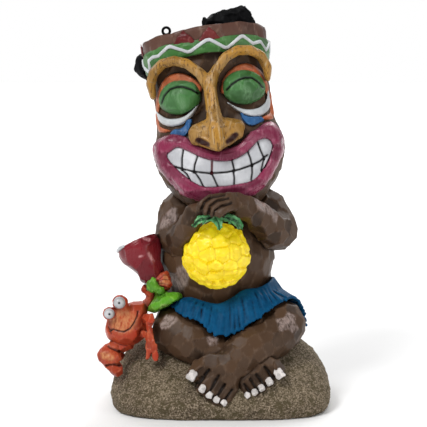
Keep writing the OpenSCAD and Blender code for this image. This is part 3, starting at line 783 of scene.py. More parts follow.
def relief(name, outline, height, edge, hole=None, grain=1.0, sink=2.0):
    """A raised shape on the face: it rounds up over its edge to its full height. Closed behind."""
    outline = smooth_outline(outline, grain)
    low, high = outline.min(0), outline.max(0)
    xs = np.arange(low[0], high[0], grain)
    zs = np.arange(low[1], high[1], grain * 0.87)
    spots = np.array([(x + (0.5 * grain if row % 2 else 0), z) for row, z in enumerate(zs) for x in xs])
    rims = [outline]
    if hole is not None:
        rims.append(smooth_outline(hole, grain))
    keep = inside(outline, spots)
    if hole is not None:
        keep &= ~inside(rims[1], spots)
    for rim in rims:
        keep[keep] = off_edge(rim, spots[keep]) > 0.55 * grain
    spots = spots[keep]
    flat_points = np.vstack([*rims, spots])
    borders = []
    first = 0
    for rim in rims:
        borders += [(first + i, first + (i + 1) % len(rim)) for i in range(len(rim))]
        first += len(rim)
    found = geometry.delaunay_2d_cdt([Vector(p) for p in flat_points], borders, [], 1, 1e-5)
    flat_points = np.array([tuple(p) for p in found[0]])
    faces = np.array([f for f in found[2] if len(f) == 3])
    middles = flat_points[faces].mean(1)
    if hole is not None:
        faces = faces[~inside(rims[1], middles)]
    away = np.min([off_edge(rim, flat_points) for rim in rims], 0)
    part = np.clip(away / edge, 0, 1)
    rise = height * np.sqrt(1 - (1 - part) ** 2) if np.isscalar(height) else height(flat_points, part)
    y = head_front(flat_points[:, 0], flat_points[:, 1])
    front = np.stack([flat_points[:, 0], y - rise, flat_points[:, 1]], 1)
    rear = np.stack([flat_points[:, 0], y + sink, flat_points[:, 1]], 1)
    count = len(flat_points)
    sides = {}
    for f in faces:
        for a, b in ((f[0], f[1]), (f[1], f[2]), (f[2], f[0])):
            if (b, a) in sides:
                del sides[(b, a)]
            else:
                sides[(a, b)] = True
    skin_faces = [tuple(int(i) for i in f) for f in faces]
    back_faces = [tuple(int(i) + count for i in reversed(f)) for f in faces]
    walls = [(int(b), int(a), int(a) + count, int(b) + count) for a, b in sides]
    piece = new_piece(name, np.vstack([front, rear]), skin_faces + back_faces + walls, head_place)
    hold(piece)
    bpy.ops.object.mode_set(mode="EDIT")
    bpy.ops.mesh.select_all(action="SELECT")
    bpy.ops.mesh.normals_make_consistent(inside=False)
    bpy.ops.object.mode_set(mode="OBJECT")
    return piece


orange_paint = resin("orange_paint", (0.360, 0.085, 0.028), (0.560, 0.230, 0.110), (0.060, 0.018, 0.010),
    gloss=0.4, brush=0.5, wash_and_shade=0.6, depth=3.0)
surrounds = together([
    relief("left_surround", [(9, 121), (12, 131), (20, 141), (34, 147), (47, 143), (55, 132), (58, 118),
        (58.5, 104), (57.5, 92), (50, 89.5), (42, 91), (50, 94.5), (54.5, 99), (54.5, 110), (50, 121),
        (40, 127), (28, 125), (16, 119)], 3.4, 3.0),
    relief("right_surround", [(-8, 127), (-14, 138), (-27, 146), (-41, 144.5), (-51, 134), (-56.5, 119),
        (-58, 105), (-57, 95), (-50, 91), (-42, 91), (-50, 95.5), (-54.5, 101), (-54, 110), (-49, 121),
        (-40, 127), (-28, 125), (-16, 121)], 3.4, 3.0),
], "eye_surrounds")
chip(surrounds, 11, seed=31, limit=0.5, flat=0.6)
seat(surrounds, orange_paint, "brow_resin")

lid_paint = resin(
    "lid_paint", (0.040, 0.130, 0.034), (0.150, 0.330, 0.150), (0.004, 0.012, 0.006), (0.130, 0.260, 0.120),
    gloss=0.33, brush=0.4, wash_and_shade=0.85, depth=4.0)
lid_lines = {
    -1: [(-49.5, 117), (-46, 123), (-39, 128), (-32, 129), (-25, 127.5), (-18, 124), (-12, 119.5)],
    1: [(15, 119), (21, 123.5), (28, 127), (35, 128.8), (42, 128), (48, 123), (51, 118.5)],
}
for side, name, middle in ((-1, "right_eyelid", (-31, 122.5)), (1, "left_eyelid", (32.5, 123.5))):
    turns = np.linspace(0, 2 * math.pi, 14, endpoint=False)
    ring = [(middle[0] + 21.5 * math.cos(a), middle[1] + 16.8 * math.sin(a)) for a in turns]
    lid = relief(name + "_casting", ring, 12, 16, grain=0.7)
    chip(lid, 13, seed=33 + side, limit=0.6, tilt=3, flat=0.6)
    cut(lid, on_face(lid_lines[side], 3), 2.4, 1.3, mask="ink", through=facing_in)
    # A pale green patch on each lid is a painted highlight.
    glint = [(middle[0] + dx, middle[1] + dz) for dx, dz in ((-3, 3), (1, -4), (2, -9))]
    cut(lid, on_face(glint), 9, 0, mask="worn", strength=0.9, through=facing_in)
    seat(lid, lid_paint, "eyelid_resin", name)

white_paint = resin("white_paint", (0.60, 0.63, 0.65), (0.80, 0.80, 0.80), (0.20, 0.19, 0.20), gloss=0.35,
    brush=0.4, wash_and_shade=0.45, depth=2.0)
crescents = together([
    relief("left_crescent", [(14, 111), (23, 105), (33, 101.5), (43, 102), (49.5, 106), (53, 112),
        (54.5, 119), (57, 119), (57, 108), (53, 99.5), (46, 94.5), (38, 93.5), (30, 96), (22, 101.5)], 5.0,
        2.2, grain=0.8),
    relief("right_crescent", [(-57, 117), (-52.5, 110), (-46, 104.5), (-38, 102.5), (-30, 103), (-22, 107),
        (-13, 113.5), (-18, 105.5), (-26, 98.5), (-34, 95.5), (-43, 95.5), (-51, 99.5), (-56, 107)], 5.0,
        2.2, grain=0.8),
], "eye_crescents")
seat(crescents, white_paint, "teeth_resin")

blue_paint = resin("blue_paint", (0.018, 0.085, 0.230), (0.070, 0.190, 0.380), (0.006, 0.018, 0.070),
    gloss=0.4, brush=0.6, wash_and_shade=0.6, depth=2.0)
cheek_marks = together([
    relief("left_mark", [(25.5, 101), (30, 96), (37, 94), (44, 93.5), (48, 91), (44, 87), (36, 85),
        (30, 87), (26, 93)], 3.4, 1.6, grain=0.8),
    relief("right_mark", [(-45, 89), (-41, 92), (-34, 92), (-30, 95), (-26, 100), (-21.5, 99), (-23, 93),
        (-26.5, 87), (-31, 83.5), (-38, 83.5), (-42, 85)], 3.4, 1.6, grain=0.8),
], "cheek_marks")
chip(cheek_marks, 7, seed=36, limit=0.5)
seat(cheek_marks, blue_paint, "skirt_resin")

# ---- Lips and teeth -------------------------------------------------------------------------
# Wide magenta lips, modelled as one soft-edged ring with broad facets, round a slab of teeth that
# is scored into two rows and inked along the cuts.
lip_outline = [(-57, 84), (-43, 85.5), (-33, 82), (-24, 75), (-12, 67), (2, 63.5), (17, 65), (26, 71),
    (36, 78), (46, 84), (55, 85), (62, 78), (65, 67), (61, 52), (50, 35), (38, 22), (20, 13), (-6, 13),
    (-28, 18), (-42, 26), (-53, 40), (-62, 56), (-65, 70), (-63, 80)]
teeth_outline = [(-51, 65), (-46, 70), (-39, 72), (-29, 66), (-17, 58), (-4, 53), (10, 51.5), (22, 55),
    (31, 61), (40, 68), (48, 68.5), (52, 62), (48, 52), (40, 40), (31, 31), (20, 28), (2, 27.5),
    (-18, 29.5), (-29, 36), (-38, 45), (-46, 55)]
mouth_lift = 2.5
lip_outline = [(x, z + mouth_lift) for x, z in lip_outline]
teeth_outline = [(x, z + mouth_lift) for x, z in teeth_outline]


def lip_rise(spots, part):
    """Rounded and thick, with the upper lip rolled forward above the teeth."""
    roll = np.sqrt(1 - (1 - part) ** 2)
    return roll * (10 + 2.0 * np.clip((spots[:, 1] - 45) / 30, -1, 1))


lip_hole = [(x * 0.985, 49.5 + (z - 49.5) * 0.96) for x, z in teeth_outline]
lips = relief("lips_casting", lip_outline, lip_rise, 8.0, hole=lip_hole, sink=3.0)
chip(lips, 15, seed=41, stretch=(1.5, 1, 0.8), tilt=4, limit=1.2, flat=0.75)
lip_folds = [
    [(-57, 60), (-49, 46), (-36, 32), (-22, 23.5), (-4, 20), (18, 20.5), (34, 28), (50, 43), (57, 58)],
    [(-50, 75), (-38, 78), (-28, 73), (-16, 64), (0, 59.5), (16, 60), (28, 67), (38, 74), (50, 77)],
]
lip_gleams = [
    [(-46, 80), (-36, 80.5), (-26, 74)], [(-56.5, 55), (-49, 43), (-37, 28.5)],
    [(26, 68), (34, 74.5), (43, 80.5)], [(19, 16.5), (34, 23.5), (46, 33)],
]
for line in lip_folds:
    cut(lips, on_face(line, mouth_lift), 5.5, 1.2, strength=0.6, through=facing_in)
# The gleams are painted highlights along the lips, in the pale lip colour.
for line in lip_gleams:
    cut(lips, on_face(line, mouth_lift), 2.2, 0, mask="worn", strength=0.3, through=facing_in)
lip_paint = resin(
    "lip_paint", (0.185, 0.020, 0.055), (0.420, 0.150, 0.220), (0.045, 0.005, 0.014),
    gloss=0.27, brush=0.5, wash_and_shade=0.85, depth=6.0)
seat(lips, lip_paint, "lip_resin", "lips")


def tooth_rise(spots, part):
    return 4.0 + 1.6 * np.sqrt(1 - (1 - np.clip(part, 0, 1)) ** 2)


teeth = relief("teeth_casting", teeth_outline, tooth_rise, 12, grain=0.62, sink=3.0)
bite = [(-45, 53), (-36, 49), (-27, 45.5), (-11, 41.5), (5, 40.5), (17, 41.5), (29, 44), (38, 47), (46, 52)]
cut(teeth, on_face(bite, mouth_lift), 2.1, 1.2, mask="ink", through=facing_in)
tooth_gaps = [
    [(-34, 68), (-36.5, 60), (-38, 50)], [(-21, 60), (-25, 52), (-27, 45)],
    [(11, 52), (11.5, 47), (12, 41)], [(27, 58), (29, 51), (29.5, 44)],
    [(38, 66), (40, 57), (42.5, 49)], [(-38, 49), (-34, 44), (-32, 38)],
    [(-26, 45), (-22, 37), (-20, 30)], [(-10, 41.5), (-8, 35), (-6, 28)],
    [(11, 41), (11, 34), (10, 28)], [(29.5, 44), (29, 37), (27, 30)],
    [(42, 49), (40, 43), (38, 38)],
]
for line in tooth_gaps:
    cut(teeth, on_face(line, mouth_lift), 1.9, 1.2, mask="ink", through=facing_in)
red_gap = [(-8, 53), (-9, 47), (-10, 41.5)]
cut(teeth, on_face(red_gap, mouth_lift), 2.2, 1.2, mask="spot", through=facing_in)
teeth_paint = resin(
    "teeth_paint", (0.600, 0.610, 0.640), (0.800, 0.800, 0.790), (0.020, 0.015, 0.015),
    gloss=0.25, brush=0.5, wash_and_shade=0.3, depth=2.0, spot=(0.075, 0.004, 0.008))
seat(teeth, teeth_paint, "teeth_resin", "teeth")

# ---- Headband -------------------------------------------------------------------------------
# A maroon ring that flares round the top of the head. A green strip stands out round its lower
# half under a white zigzag, and dark red triangles are painted above it.
band_square = 0.75
band_levels = [(150, 60, -51, 45), (186, 62.5, -53, 47.5)]


def band_radius(turn, z, out=0.0):
    """A point on the band, by the turn round the head, its height, and how far it stands out."""
    heights = [level[0] for level in band_levels]
    half_w, front, back = (np.interp(z, heights, [level[k] for level in band_levels]) for k in (1, 2, 3))
    half_w, front, back = half_w + out, front - out, back + out
    c, s = np.cos(turn), np.sin(turn)
    x = half_w * np.sign(c) * np.abs(c) ** band_square
    y = (front + back) / 2 + (back - front) / 2 * np.sign(s) * np.abs(s) ** band_square
    return np.stack([x, y, np.broadcast_to(z, np.shape(x)).astype(float)], -1)


def even_turns(count):
    """Turns that step round the band at equal distances, starting at its front."""
    fine = np.linspace(-math.pi / 2, 1.5 * math.pi, 4001)
    path = band_radius(fine, np.full(len(fine), 168.0))
    along = np.concatenate([[0], np.cumsum(np.linalg.norm(np.diff(path, axis=0), axis=1))])
    return np.interp(np.linspace(0, along[-1], count, endpoint=False), along, fine), along[-1]


band_count = 300
band_turns, band_length = even_turns(band_count)


def band_dip(turn):
    """The band's lower edge rises between the brows."""
    from_front = np.abs((turn + math.pi / 2 + math.pi) % (2 * math.pi) - math.pi)
    return 9 * np.clip(1 - from_front / 0.85, 0, 1) ** 0.6


def ring_band(name, low, high, out, wall, rows):
    """A closed hoop between two heights, which may change round it, with a rounded outer face."""
    rings = []
    for part in np.linspace(0, 1, rows):
        rise = out - 0.9 * (2 * part - 1) ** 6
        rings.append(band_radius(band_turns, low + (high - low) * part, rise))
    for part in np.linspace(1, 0, rows):
        rings.append(band_radius(band_turns, low + (high - low) * part, out - wall))
    total = len(rings)
    faces = []
    for r in range(total):
        for i in range(band_count):
            j = (i + 1) % band_count
            here, after = r * band_count, (r + 1) % total * band_count
            faces.append((here + i, here + j, after + j, after + i))
    return new_piece(name, np.concatenate(rings), faces, head_place)


across_band = band_radius(band_turns, np.full(band_count, 180.0))
rim_height = 184 + 0.7 * np.sin(band_turns * 5) + 0.5 * np.sin(band_turns * 11 + 1)
rim_height += 4.5 * np.exp(-(((across_band[:, 0] - 8) / 30) ** 2)) * (across_band[:, 1] < 0)
headband = ring_band("headband_casting", 151 + band_dip(band_turns), rim_height, 0.6, 5.0, 34)
chip(headband, 16, seed=51, stretch=(1, 1, 1.6), limit=0.8, flat=0.7)
band_paint = resin("band_paint", (0.075, 0.032, 0.022), (0.190, 0.110, 0.080), (0.016, 0.006, 0.005),
    gloss=0.4, brush=0.7, wash_and_shade=0.8)
seat(headband, band_paint, "band_resin", "headband")

strip_top = 174.5 - 7 * np.clip(np.abs(np.cos(band_turns)) - 0.55, 0, 1)
green_strip = ring_band("green_strip", 151.5 + band_dip(band_turns), strip_top, 1.9, 3.5, 20)
chip(green_strip, 13, seed=52, limit=0.6, flat=0.7)
strip_paint = resin("strip_paint", (0.036, 0.125, 0.026), (0.180, 0.330, 0.150), (0.006, 0.022, 0.008),
    gloss=0.38, brush=0.6, wash_and_shade=0.6, depth=3.0)
seat(green_strip, strip_paint, "eyelid_resin")


def along_band(distance):
    """The turn at a distance round the band from its front middle, towards the figure's left."""
    marks = np.linspace(0, band_length, band_count + 1)
    return np.interp(distance % band_length, marks, np.append(band_turns, 1.5 * math.pi))


corners = [(-62, 154), (-60, 166), (-46, 165), (-35, 171.5), (-32, 172), (-17, 164), (-14, 164), (2, 172.5),
    (6, 172.5), (19, 163), (22, 163), (35, 172), (38, 172), (47, 164.5), (57, 169)]
zigzag_start, zigzag_end, zigzag_teeth = 66, band_length - 76, 6
for k in range(zigzag_teeth):
    low_at = zigzag_start + (zigzag_end - zigzag_start) * k / zigzag_teeth
    high_at = zigzag_start + (zigzag_end - zigzag_start) * (k + 0.5) / zigzag_teeth
    corners += [(low_at, 161), (high_at, 171.5)]
corners.append((corners[0][0] + band_length, corners[0][1]))
zigzag_lumps = []
for (s1, z1), (s2, z2) in zip(corners, corners[1:]):
    steps = max(1, int(abs(s2 - s1) / 6))
    for q in range(steps):
        ends = []
        for t in (q / steps, (q + 1) / steps):
            s, z = s1 + (s2 - s1) * t, z1 + (z2 - z1) * t
            turn = along_band(s)
            at_side = abs(math.cos(turn)) > 0.8
            ends.append((tuple(band_radius(np.array(turn), z - 2.5 * at_side, 2.0)), (1.9, 1.2, 2.0)))
        zigzag_lumps.append(hulled(*ends, segments=8))
zigzag = clay("zigzag", zigzag_lumps, grain=0.7, soften=2, place=head_place)
seat(zigzag, white_paint, "teeth_resin")

triangle_lumps = []
triangle_count = 15
triangle_foot, triangle_top = 173.0, 185.0
for k in range(triangle_count):
    middle = -19 + k * (band_length / triangle_count)
    top = tuple(band_radius(np.array(along_band(middle + 1)), triangle_top, 0.9))
    feet = [tuple(band_radius(np.array(along_band(middle + d)), triangle_foot, 1.0)) for d in (-10, 10)]
    centre = band_radius(np.array(along_band(middle)), triangle_foot, 1.0)
    if np.linalg.norm(centre - np.mean(feet, 0)) > 0.8:
        continue
    triangle_lumps.append(hulled((top, 0.8), (feet[0], (1, 1.2, 1)), (feet[1], (1, 1.2, 1)), segments=8))
    for foot in feet:
        cut(headband, in_head([foot, top]), 1.9, 0.3, mask="worn", strength=0.8)
triangles = clay("band_triangles", triangle_lumps, grain=0.6, soften=1, place=head_place)
chip(triangles, 10, seed=53, limit=0.4)
red_paint = resin("red_paint", (0.110, 0.009, 0.010), (0.230, 0.080, 0.070), (0.020, 0.003, 0.003),
    gloss=0.36, brush=0.6, wash_and_shade=0.5, depth=2.0)
seat(triangles, red_paint, "band_resin")

# ---- Hair -----------------------------------------------------------------------------------
# A cap of black resin inside the headband, with blunt carved tufts on the crown, locks that hang
# from under the band over the sides and back of the head, and one small closed curl above the band.
hair_lumps = [
    hulled(((-10, 0, 184), (38, 30, 6)), ((24, 6, 187), (28, 28, 8)), segments=24),
    hulled(((-44, 34, 168), (14, 14, 16)), ((42, 34, 166), (14, 14, 16)), ((0, 40, 120), (42, 10, 20)),
        ((0, 36, 80), (30, 10, 12)), segments=20),
]
draw = np.random.default_rng(9)
lock_count = 26
for k in range(lock_count):
    turn = math.radians(22 + 136 * k / (lock_count - 1))
    x, y = 56 * math.cos(turn), 2 + 45 * math.sin(turn)
    edge = abs(math.cos(turn)) ** 2
    drop = 66 + 52 * edge + draw.uniform(-8, 8)
    sway = draw.uniform(-4, 4)
    hair_lumps += limb(
        ((x * 0.98, y, 176), (6.5, 6, 8)),
        ((x * 1.06 + sway, y * 1.08, (176 + drop) / 2 + 14), (7, 6.5, 10)),
        ((x * 0.93 + sway, y * 1.04, drop), (2.6, 2.6, 4)), segments=12)
hair_lumps += limb(((-52, 28, 174), (14, 14, 10)), ((-66, 20, 168), (8.5, 11, 9)),
    ((-60, 24, 155), (5, 8, 6)), segments=16)
hair_lumps += limb(((48, 30, 172), (12, 14, 10)), ((54, 20, 168), (5.5, 10, 8)), ((54, 22, 150), (4, 8, 6)),
    segments=16)
hair = clay("hair_casting", hair_lumps, grain=1.5, soften=3, place=head_place)
chip(hair, 9, seed=61, stretch=(1, 1, 2.4), tilt=9, limit=2.2)
hair_paint = resin("hair_paint", (0.0035, 0.0035, 0.0040), (0.016, 0.016, 0.018), (0.001, 0.001, 0.001),
    gloss=0.5, brush=0.3, wash_and_shade=0.7, shine=0.06)
seat(hair, hair_paint, "hair_resin", "hair")

crown = clay("hair_crown", [
    hulled(((-14, 18, 378), 5), ((-7, 20, 383), 4.5), ((10, 20, 388.5), 5), ((22, 20, 391), 4.5),
        ((30, 20, 378), 5), ((0, 40, 368), 8), ((26, 40, 372), 8)),
    hulled(((-16, 17, 382.5), 1.6), ((-12, 20, 378), 4)),
    hulled(((-8, 17, 388), 1.5), ((-4, 20, 383), 4)),
    hulled(((14, 18, 394), 1.5), ((12, 20, 388), 4)),
    hulled(((24, 18, 396), 1.4), ((22, 20, 390), 4.5)),
], grain=0.9, soften=1)
chip(crown, 8, seed=62, tilt=10, limit=1.4)
seat(crown, hair_paint, "hair_resin")

bpy.ops.object.select_all(action="DESELECT")
bpy.ops.mesh.primitive_torus_add(
    major_radius=3.6 * mm, minor_radius=1.35 * mm, major_segments=40, minor_segments=16,
    location=Vector((-54, 2, 371)) * mm, rotation=(math.pi / 2, 0, 0))
curl_lumps = [bpy.context.object, hulled(((-54, 2, 367), (2.2, 2, 2)), ((-51, 8, 361), (4, 4, 4)), segments=12)]
curl = clay("hair_curl", curl_lumps, grain=0.5, soften=2)
seat(curl, hair_paint, "hair_resin")

# ---- Arms and hands -------------------------------------------------------------------------
# The arms come forward from heavy shoulders. The left hand lies over the right one on top of the
# pineapple, with its fingers hanging over the crown and parted by knife cuts.
right_arm = clay("right_arm_casting", [
    *limb(((-40, 8, 188), 23), ((-45, -2, 170), 20), ((-41, -22, 164), 15), ((-35, -42, 178), 11.5),
        ((-27, -54, 197), 9.5), ((-14, -60, 203), (9, 8, 7))),
    *limb(((-20, -60, 204), 5), ((-8, -66, 204), 4.5), ((2, -70, 200), 3.6), segments=12),
    *limb(((-18, -58, 200), 5), ((-6, -63, 199), 4.5), ((4, -68, 196), 3.6), segments=12),
], grain=1.2, soften=5)
chip(right_arm, 13, seed=71, limit=2.4, worn=[(-50, -16, 186, 9), (-52, -14, 176, 8)],
     where=lambda p: np.where(p[:, 1] < -50, 0.4, 1.0))
seat(right_arm, skin_paint, "skin_resin", "right_arm")

left_arm = clay("left_arm_casting", [
    *limb(((42, 8, 189), 25.5), ((55, 0, 174), 21.5), ((51, -14, 175), 18), ((36, -40, 194), 13),
        ((20, -60, 206), 10)),
    *limb(((20, -60, 206), 10), ((6, -68, 212), (10, 8, 8)), ((-2, -69, 212), (7, 7, 7))),
    *limb(((-1, -68, 216), 4.2), ((-11, -70, 214.5), 4.0), ((-18, -73, 210), 3.7), ((-21.5, -74, 205), 3.3),
        segments=12),
    *limb(((3, -71, 215), 4.2), ((-6, -74, 212.5), 4.0), ((-12.5, -77, 207.5), 3.7), ((-15, -78, 202), 3.3),
        segments=12),
    *limb(((7, -73, 212), 4.2), ((-1, -77, 209.5), 4.0), ((-6.5, -80, 205), 3.7), ((-8.5, -80.5, 200), 3.3),
        segments=12),
    *limb(((12, -72, 209), 4.2), ((5, -78, 206), 4.0), ((0, -80, 202.5), 3.5), ((-2, -80, 199), 3.0),
        segments=12),
], grain=1.0, soften=3)
chip(left_arm, 13, seed=74, limit=2.4, worn=[(36, -56, 204, 8), (46, -44, 200, 8), (52, -40, 190, 6)],
     where=lambda p: np.where((p[:, 1] < -60) & (p[:, 0] < 12), 0.3, 1.0))
finger_gaps = [
    ((3, -74, 218.5), (-9, -77, 216.5), (-16, -80, 212), (-18.7, -80, 206), (-18.7, -80, 201)),
    ((7, -77, 215.5), (-4, -81, 213.5), (-11, -84, 208.5), (-12.5, -84, 200)),
    ((10, -79, 211), (0, -83, 208.5), (-6, -86, 204.5), (-7.5, -86, 198)),
]
for crease in finger_gaps:
    cut(left_arm, crease, 1.8, 2.2, mask="ink", strength=0.7, through=(0, 1, 0))
seat(left_arm, skin_paint, "skin_resin", "left_arm")

# ---- Pineapple lamp -------------------------------------------------------------------------
# The lens is a thin moulded shell of translucent yellow, covered with overlapping blunt scales,
# and pressed into the belly over its light. Painted resin leaves drape over its top.
lens_low, lens_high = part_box("pineapple_lens")
lens_depth = -40
lens_middle = np.array((lens_low + lens_high) / 2) / mm
lens_middle[1] = lens_depth
lens_radius = (lens_high.x - lens_low.x) / 2 / mm - 1.6
bpy.ops.object.select_all(action="DESELECT")
bpy.ops.mesh.primitive_ico_sphere_add(subdivisions=6, radius=1)
lens = bpy.context.object
lens.scale = (lens_radius * mm, (lens_radius - 2.5) * mm, lens_radius * mm)
lens.location = Vector(lens_middle) * mm
lens = together([lens], "pineapple_body")
points, normals, _ = read_skin(lens)
from_middle = (points - lens_middle) / lens_radius
scales = []
row_count = 8
for row in range(row_count):
    tall = math.radians(-82 + 164 * row / (row_count - 1))
    ring = max(1, int(round(12 * math.cos(tall))))
    for k in range(ring):
        turn = 2 * math.pi * (k + 0.5 * (row % 2)) / ring + 0.2
        scales.append((math.cos(tall) * math.cos(turn), math.cos(tall) * math.sin(turn), math.sin(tall)))
draw = np.random.default_rng(15)
scales = np.array(scales) + draw.normal(0, 0.06, (len(scales), 3))
gap_to = np.linalg.norm(from_middle[:, None, :] - scales[None], axis=2)
order = np.sort(gap_to, axis=1)
nearest = np.argmin(gap_to, axis=1)
lean = from_middle[:, 2] - scales[nearest][:, 2]
tilts = draw.normal(0, 1, (len(scales), 3))
slant = np.sum((from_middle - scales[nearest]) * tilts[nearest], 1)
bump = np.clip((order[:, 1] - order[:, 0]) / 0.13, 0, 1)
bump = bump * bump * (3 - 2 * bump)
rise = 1.3 * bump - 0.4 + 7.0 * np.clip(lean, -0.25, 0.25) + 2.0 * slant
move_skin(lens, points + normals * rise[:, None])
mark(lens, "seam", 1 - bump)
chip(lens, 6.5, seed=82, tilt=15, limit=1.6, flat=0.8)

lens_plastic, lens_shader, add, put, place = new_paint("pineapple_plastic")
tone, seam, ridge = (read_mask(add, mask) for mask in ("tone", "seam", "ridge"))
cloud = add("TexNoise", Vector=place, Scale=130.0, Detail=2.0).outputs["Fac"]
yellow = mixed(add, ramped(add, tone, 0.0, 1.0), (0.62, 0.455, 0.004), (0.68, 0.52, 0.008))
yellow = mixed(add, ramped(add, seam, 0.55, 1.0), yellow, (0.55, 0.39, 0.003))
# Paler yellow on some scale ridges is a painted highlight.
pale = product(add, ramped(add, cloud, 0.52, 0.70), ridge)
yellow = mixed(add, pale, yellow, (0.78, 0.63, 0.03))
put(lens_shader, "Base Color", yellow)
put(lens_shader, "Emission Color", yellow)
lens_shader.inputs["Emission Strength"].default_value = 0.48
lens_shader.inputs["Roughness"].default_value = 0.42
lens_shader.inputs["Subsurface Weight"].default_value = 0.25
lens_shader.inputs["Subsurface Radius"].default_value = (0.006, 0.004, 0.001)
lens_shader.inputs["Subsurface Scale"].default_value = 1.0
put(lens_shader, "Normal", add("Bump", Strength=0.2, Distance=0.0002, Height=cloud))
seat(lens, lens_plastic, "pineapple_plastic", "pineapple_lens", angle=60)

leaf_lumps = [ball((-4, -63, 197), (15, 10, 4))]
leaf_shapes = [
    ((-10, -67, 197), (-20, -70, 195), (-27.5, -67, 186.5), 5.5),
    ((-6, -70, 197), (-3, -74, 192), (-1.5, -77, 184.5), 6.0),
    ((5, -68, 197), (11.5, -71, 195.5), (17, -68, 184.5), 5.5),
    ((-9, -69, 197), (-14, -72, 195), (-17, -73, 190.5), 4.5),
    ((2, -69, 197), (7, -72, 195), (9.5, -73, 190.5), 4.5),
    ((-14, -60, 195), (-23, -60, 192.5), (-29, -56, 185), 4.5),
    ((8, -60, 195), (15, -61, 193), (20.5, -57, 182.5), 4.5),
]
for root, bend, tip, wide in leaf_shapes:
    leaf_lumps += [
        hulled((root, (wide, 3, 2.6)), (bend, (wide * 0.85, 2.2, 3.6)), segments=16),
        hulled((bend, (wide * 0.85, 2.2, 3.6)), (tip, (1.2, 1.1, 1.2)), segments=16),
    ]
leaves = clay("pineapple_leaf_casting", leaf_lumps, grain=0.7, soften=2)
chip(leaves, 5.5, seed=81, tilt=8, limit=0.8)
for root, bend, tip, wide in leaf_shapes:
    cut(leaves, [root, bend, tip], 1.5, 0.8, mask="ink", strength=0.75, through=(0, 1, 0))
leaf_paint = resin("leaf_paint", (0.045, 0.230, 0.070), (0.330, 0.600, 0.330), (0.004, 0.030, 0.010),
    gloss=0.4, brush=0.9, wash_and_shade=0.85, depth=3.0)
seat(leaves, leaf_paint, "leaf_resin", "pineapple_leaves")

# ---- Light source behind the lens -----------------------------------------------------------
# A white disc carries one warm light-emitting diode, and two red insulated leads run back from it.


def moulded(name, colour, mottle, rough, scale=300.0, bump=0.0001, metal=0.0):
    """Plain moulded plastic or metal with a faint mottle in its colour and polish."""
    material, shader, add, put, place = new_paint(name)
    flow = add("TexNoise", Vector=place, Scale=scale, Detail=4.0, Roughness=0.6).outputs["Fac"]
    broad = add("TexNoise", Vector=place, Scale=scale / 8, Detail=2.0).outputs["Fac"]
    put(shader, "Base Color", mixed(add, ramped(add, broad, 0.3, 0.7), colour, mottle))
    polish = add("MapRange", {"clamp": True}, i0=flow, i1=0.3, i2=0.7, i3=rough - 0.06, i4=rough + 0.08)
    put(shader, "Roughness", polish)
    put(shader, "Normal", add("Bump", Strength=0.3, Distance=bump, Height=flow))
    shader.inputs["Metallic"].default_value = metal
    return material


coat("led_holder", moulded("holder_plastic", (0.70, 0.70, 0.68), (0.78, 0.78, 0.76), 0.35))
diode_resin = moulded("diode_resin", (0.90, 0.78, 0.45), (0.95, 0.85, 0.55), 0.12)
diode_shader = diode_resin.node_tree.nodes["Principled BSDF"]
diode_shader.inputs["Emission Color"].default_value = (1.0, 0.80, 0.40, 1)
diode_shader.inputs["Emission Strength"].default_value = 1.2
coat("led", diode_resin)
lead_plastic = moulded("lead_plastic", (0.32, 0.012, 0.012), (0.42, 0.020, 0.018), 0.4)
coat("led_leads", lead_plastic)
coat("panel_leads", lead_plastic)

# ---- Crab -----------------------------------------------------------------------------------
# Separate small castings for body, claws and legs, painted orange-red with a tan muzzle. It props
# itself on one claw, lifts the glass with the other, and grins with a line cut across its front.
crab_red = (0.340, 0.034, 0.012)
crab_light = (0.560, 0.150, 0.060)
crab_dark = (0.050, 0.005, 0.003)
crab_tan = (0.560, 0.240, 0.100)
crab_paint = resin("crab_paint", crab_red, crab_light, crab_dark, crab_tan, gloss=0.34, brush=0.6,
    wash_and_shade=0.95, depth=8.0, vary=0.3)
eye_places = [
    ((-99.5, -46, 108.5), 6.0, (0.02, -0.9, 0.12)),
    ((-109.5, -46, 97.5), 5.3, (0.10, -0.9, 0.10)),
]

crab_body = clay("crab_body_casting", [
    hulled(((-95, -30, 79), (20, 19, 18)), ((-84, -28, 95), (11.5, 14, 11)), ((-99, -30, 92), (12, 14, 10)),
           ((-79, -28, 101), (5, 10, 5)), ((-80, -28, 77), (7, 12, 9)), segments=28),
    *[hulled((tuple(np.array(at) + (1, 4.5, -0.5)), size + 1.0), ((-95, -32, 90), 6), segments=18)
      for at, size, _ in eye_places],
], grain=0.9, soften=8)
chip(crab_body, 10, seed=91, tilt=3, limit=0.9, flat=0.7)
points = read_skin(crab_body)[0]
muzzle = np.clip(1.35 - np.linalg.norm((points - (-97, -46, 90)) / (13, 16, 11), axis=1), 0, 1)
mark(crab_body, "worn", np.clip(1.5 * muzzle, 0, 1) * (points[:, 1] < -30))
grin = [
    (-109, -41, 80), (-106, -46, 82), (-101, -49, 80.5), (-95, -50, 80), (-89, -48.5, 83), (-85, -46, 88),
    (-82.5, -43, 94), (-81.5, -41, 99),
]
cut(crab_body, grin, 1.5, 1.5, mask="ink", strength=0.9, through=(0, 1, 0))
grin_end = [(-111, -40, 83), (-109, -41, 80), (-108, -41, 77)]
cut(crab_body, grin_end, 1.4, 0.8, mask="ink", strength=0.7, through=(0, 1, 0))
seat(crab_body, crab_paint, "crab_resin", "crab_body")

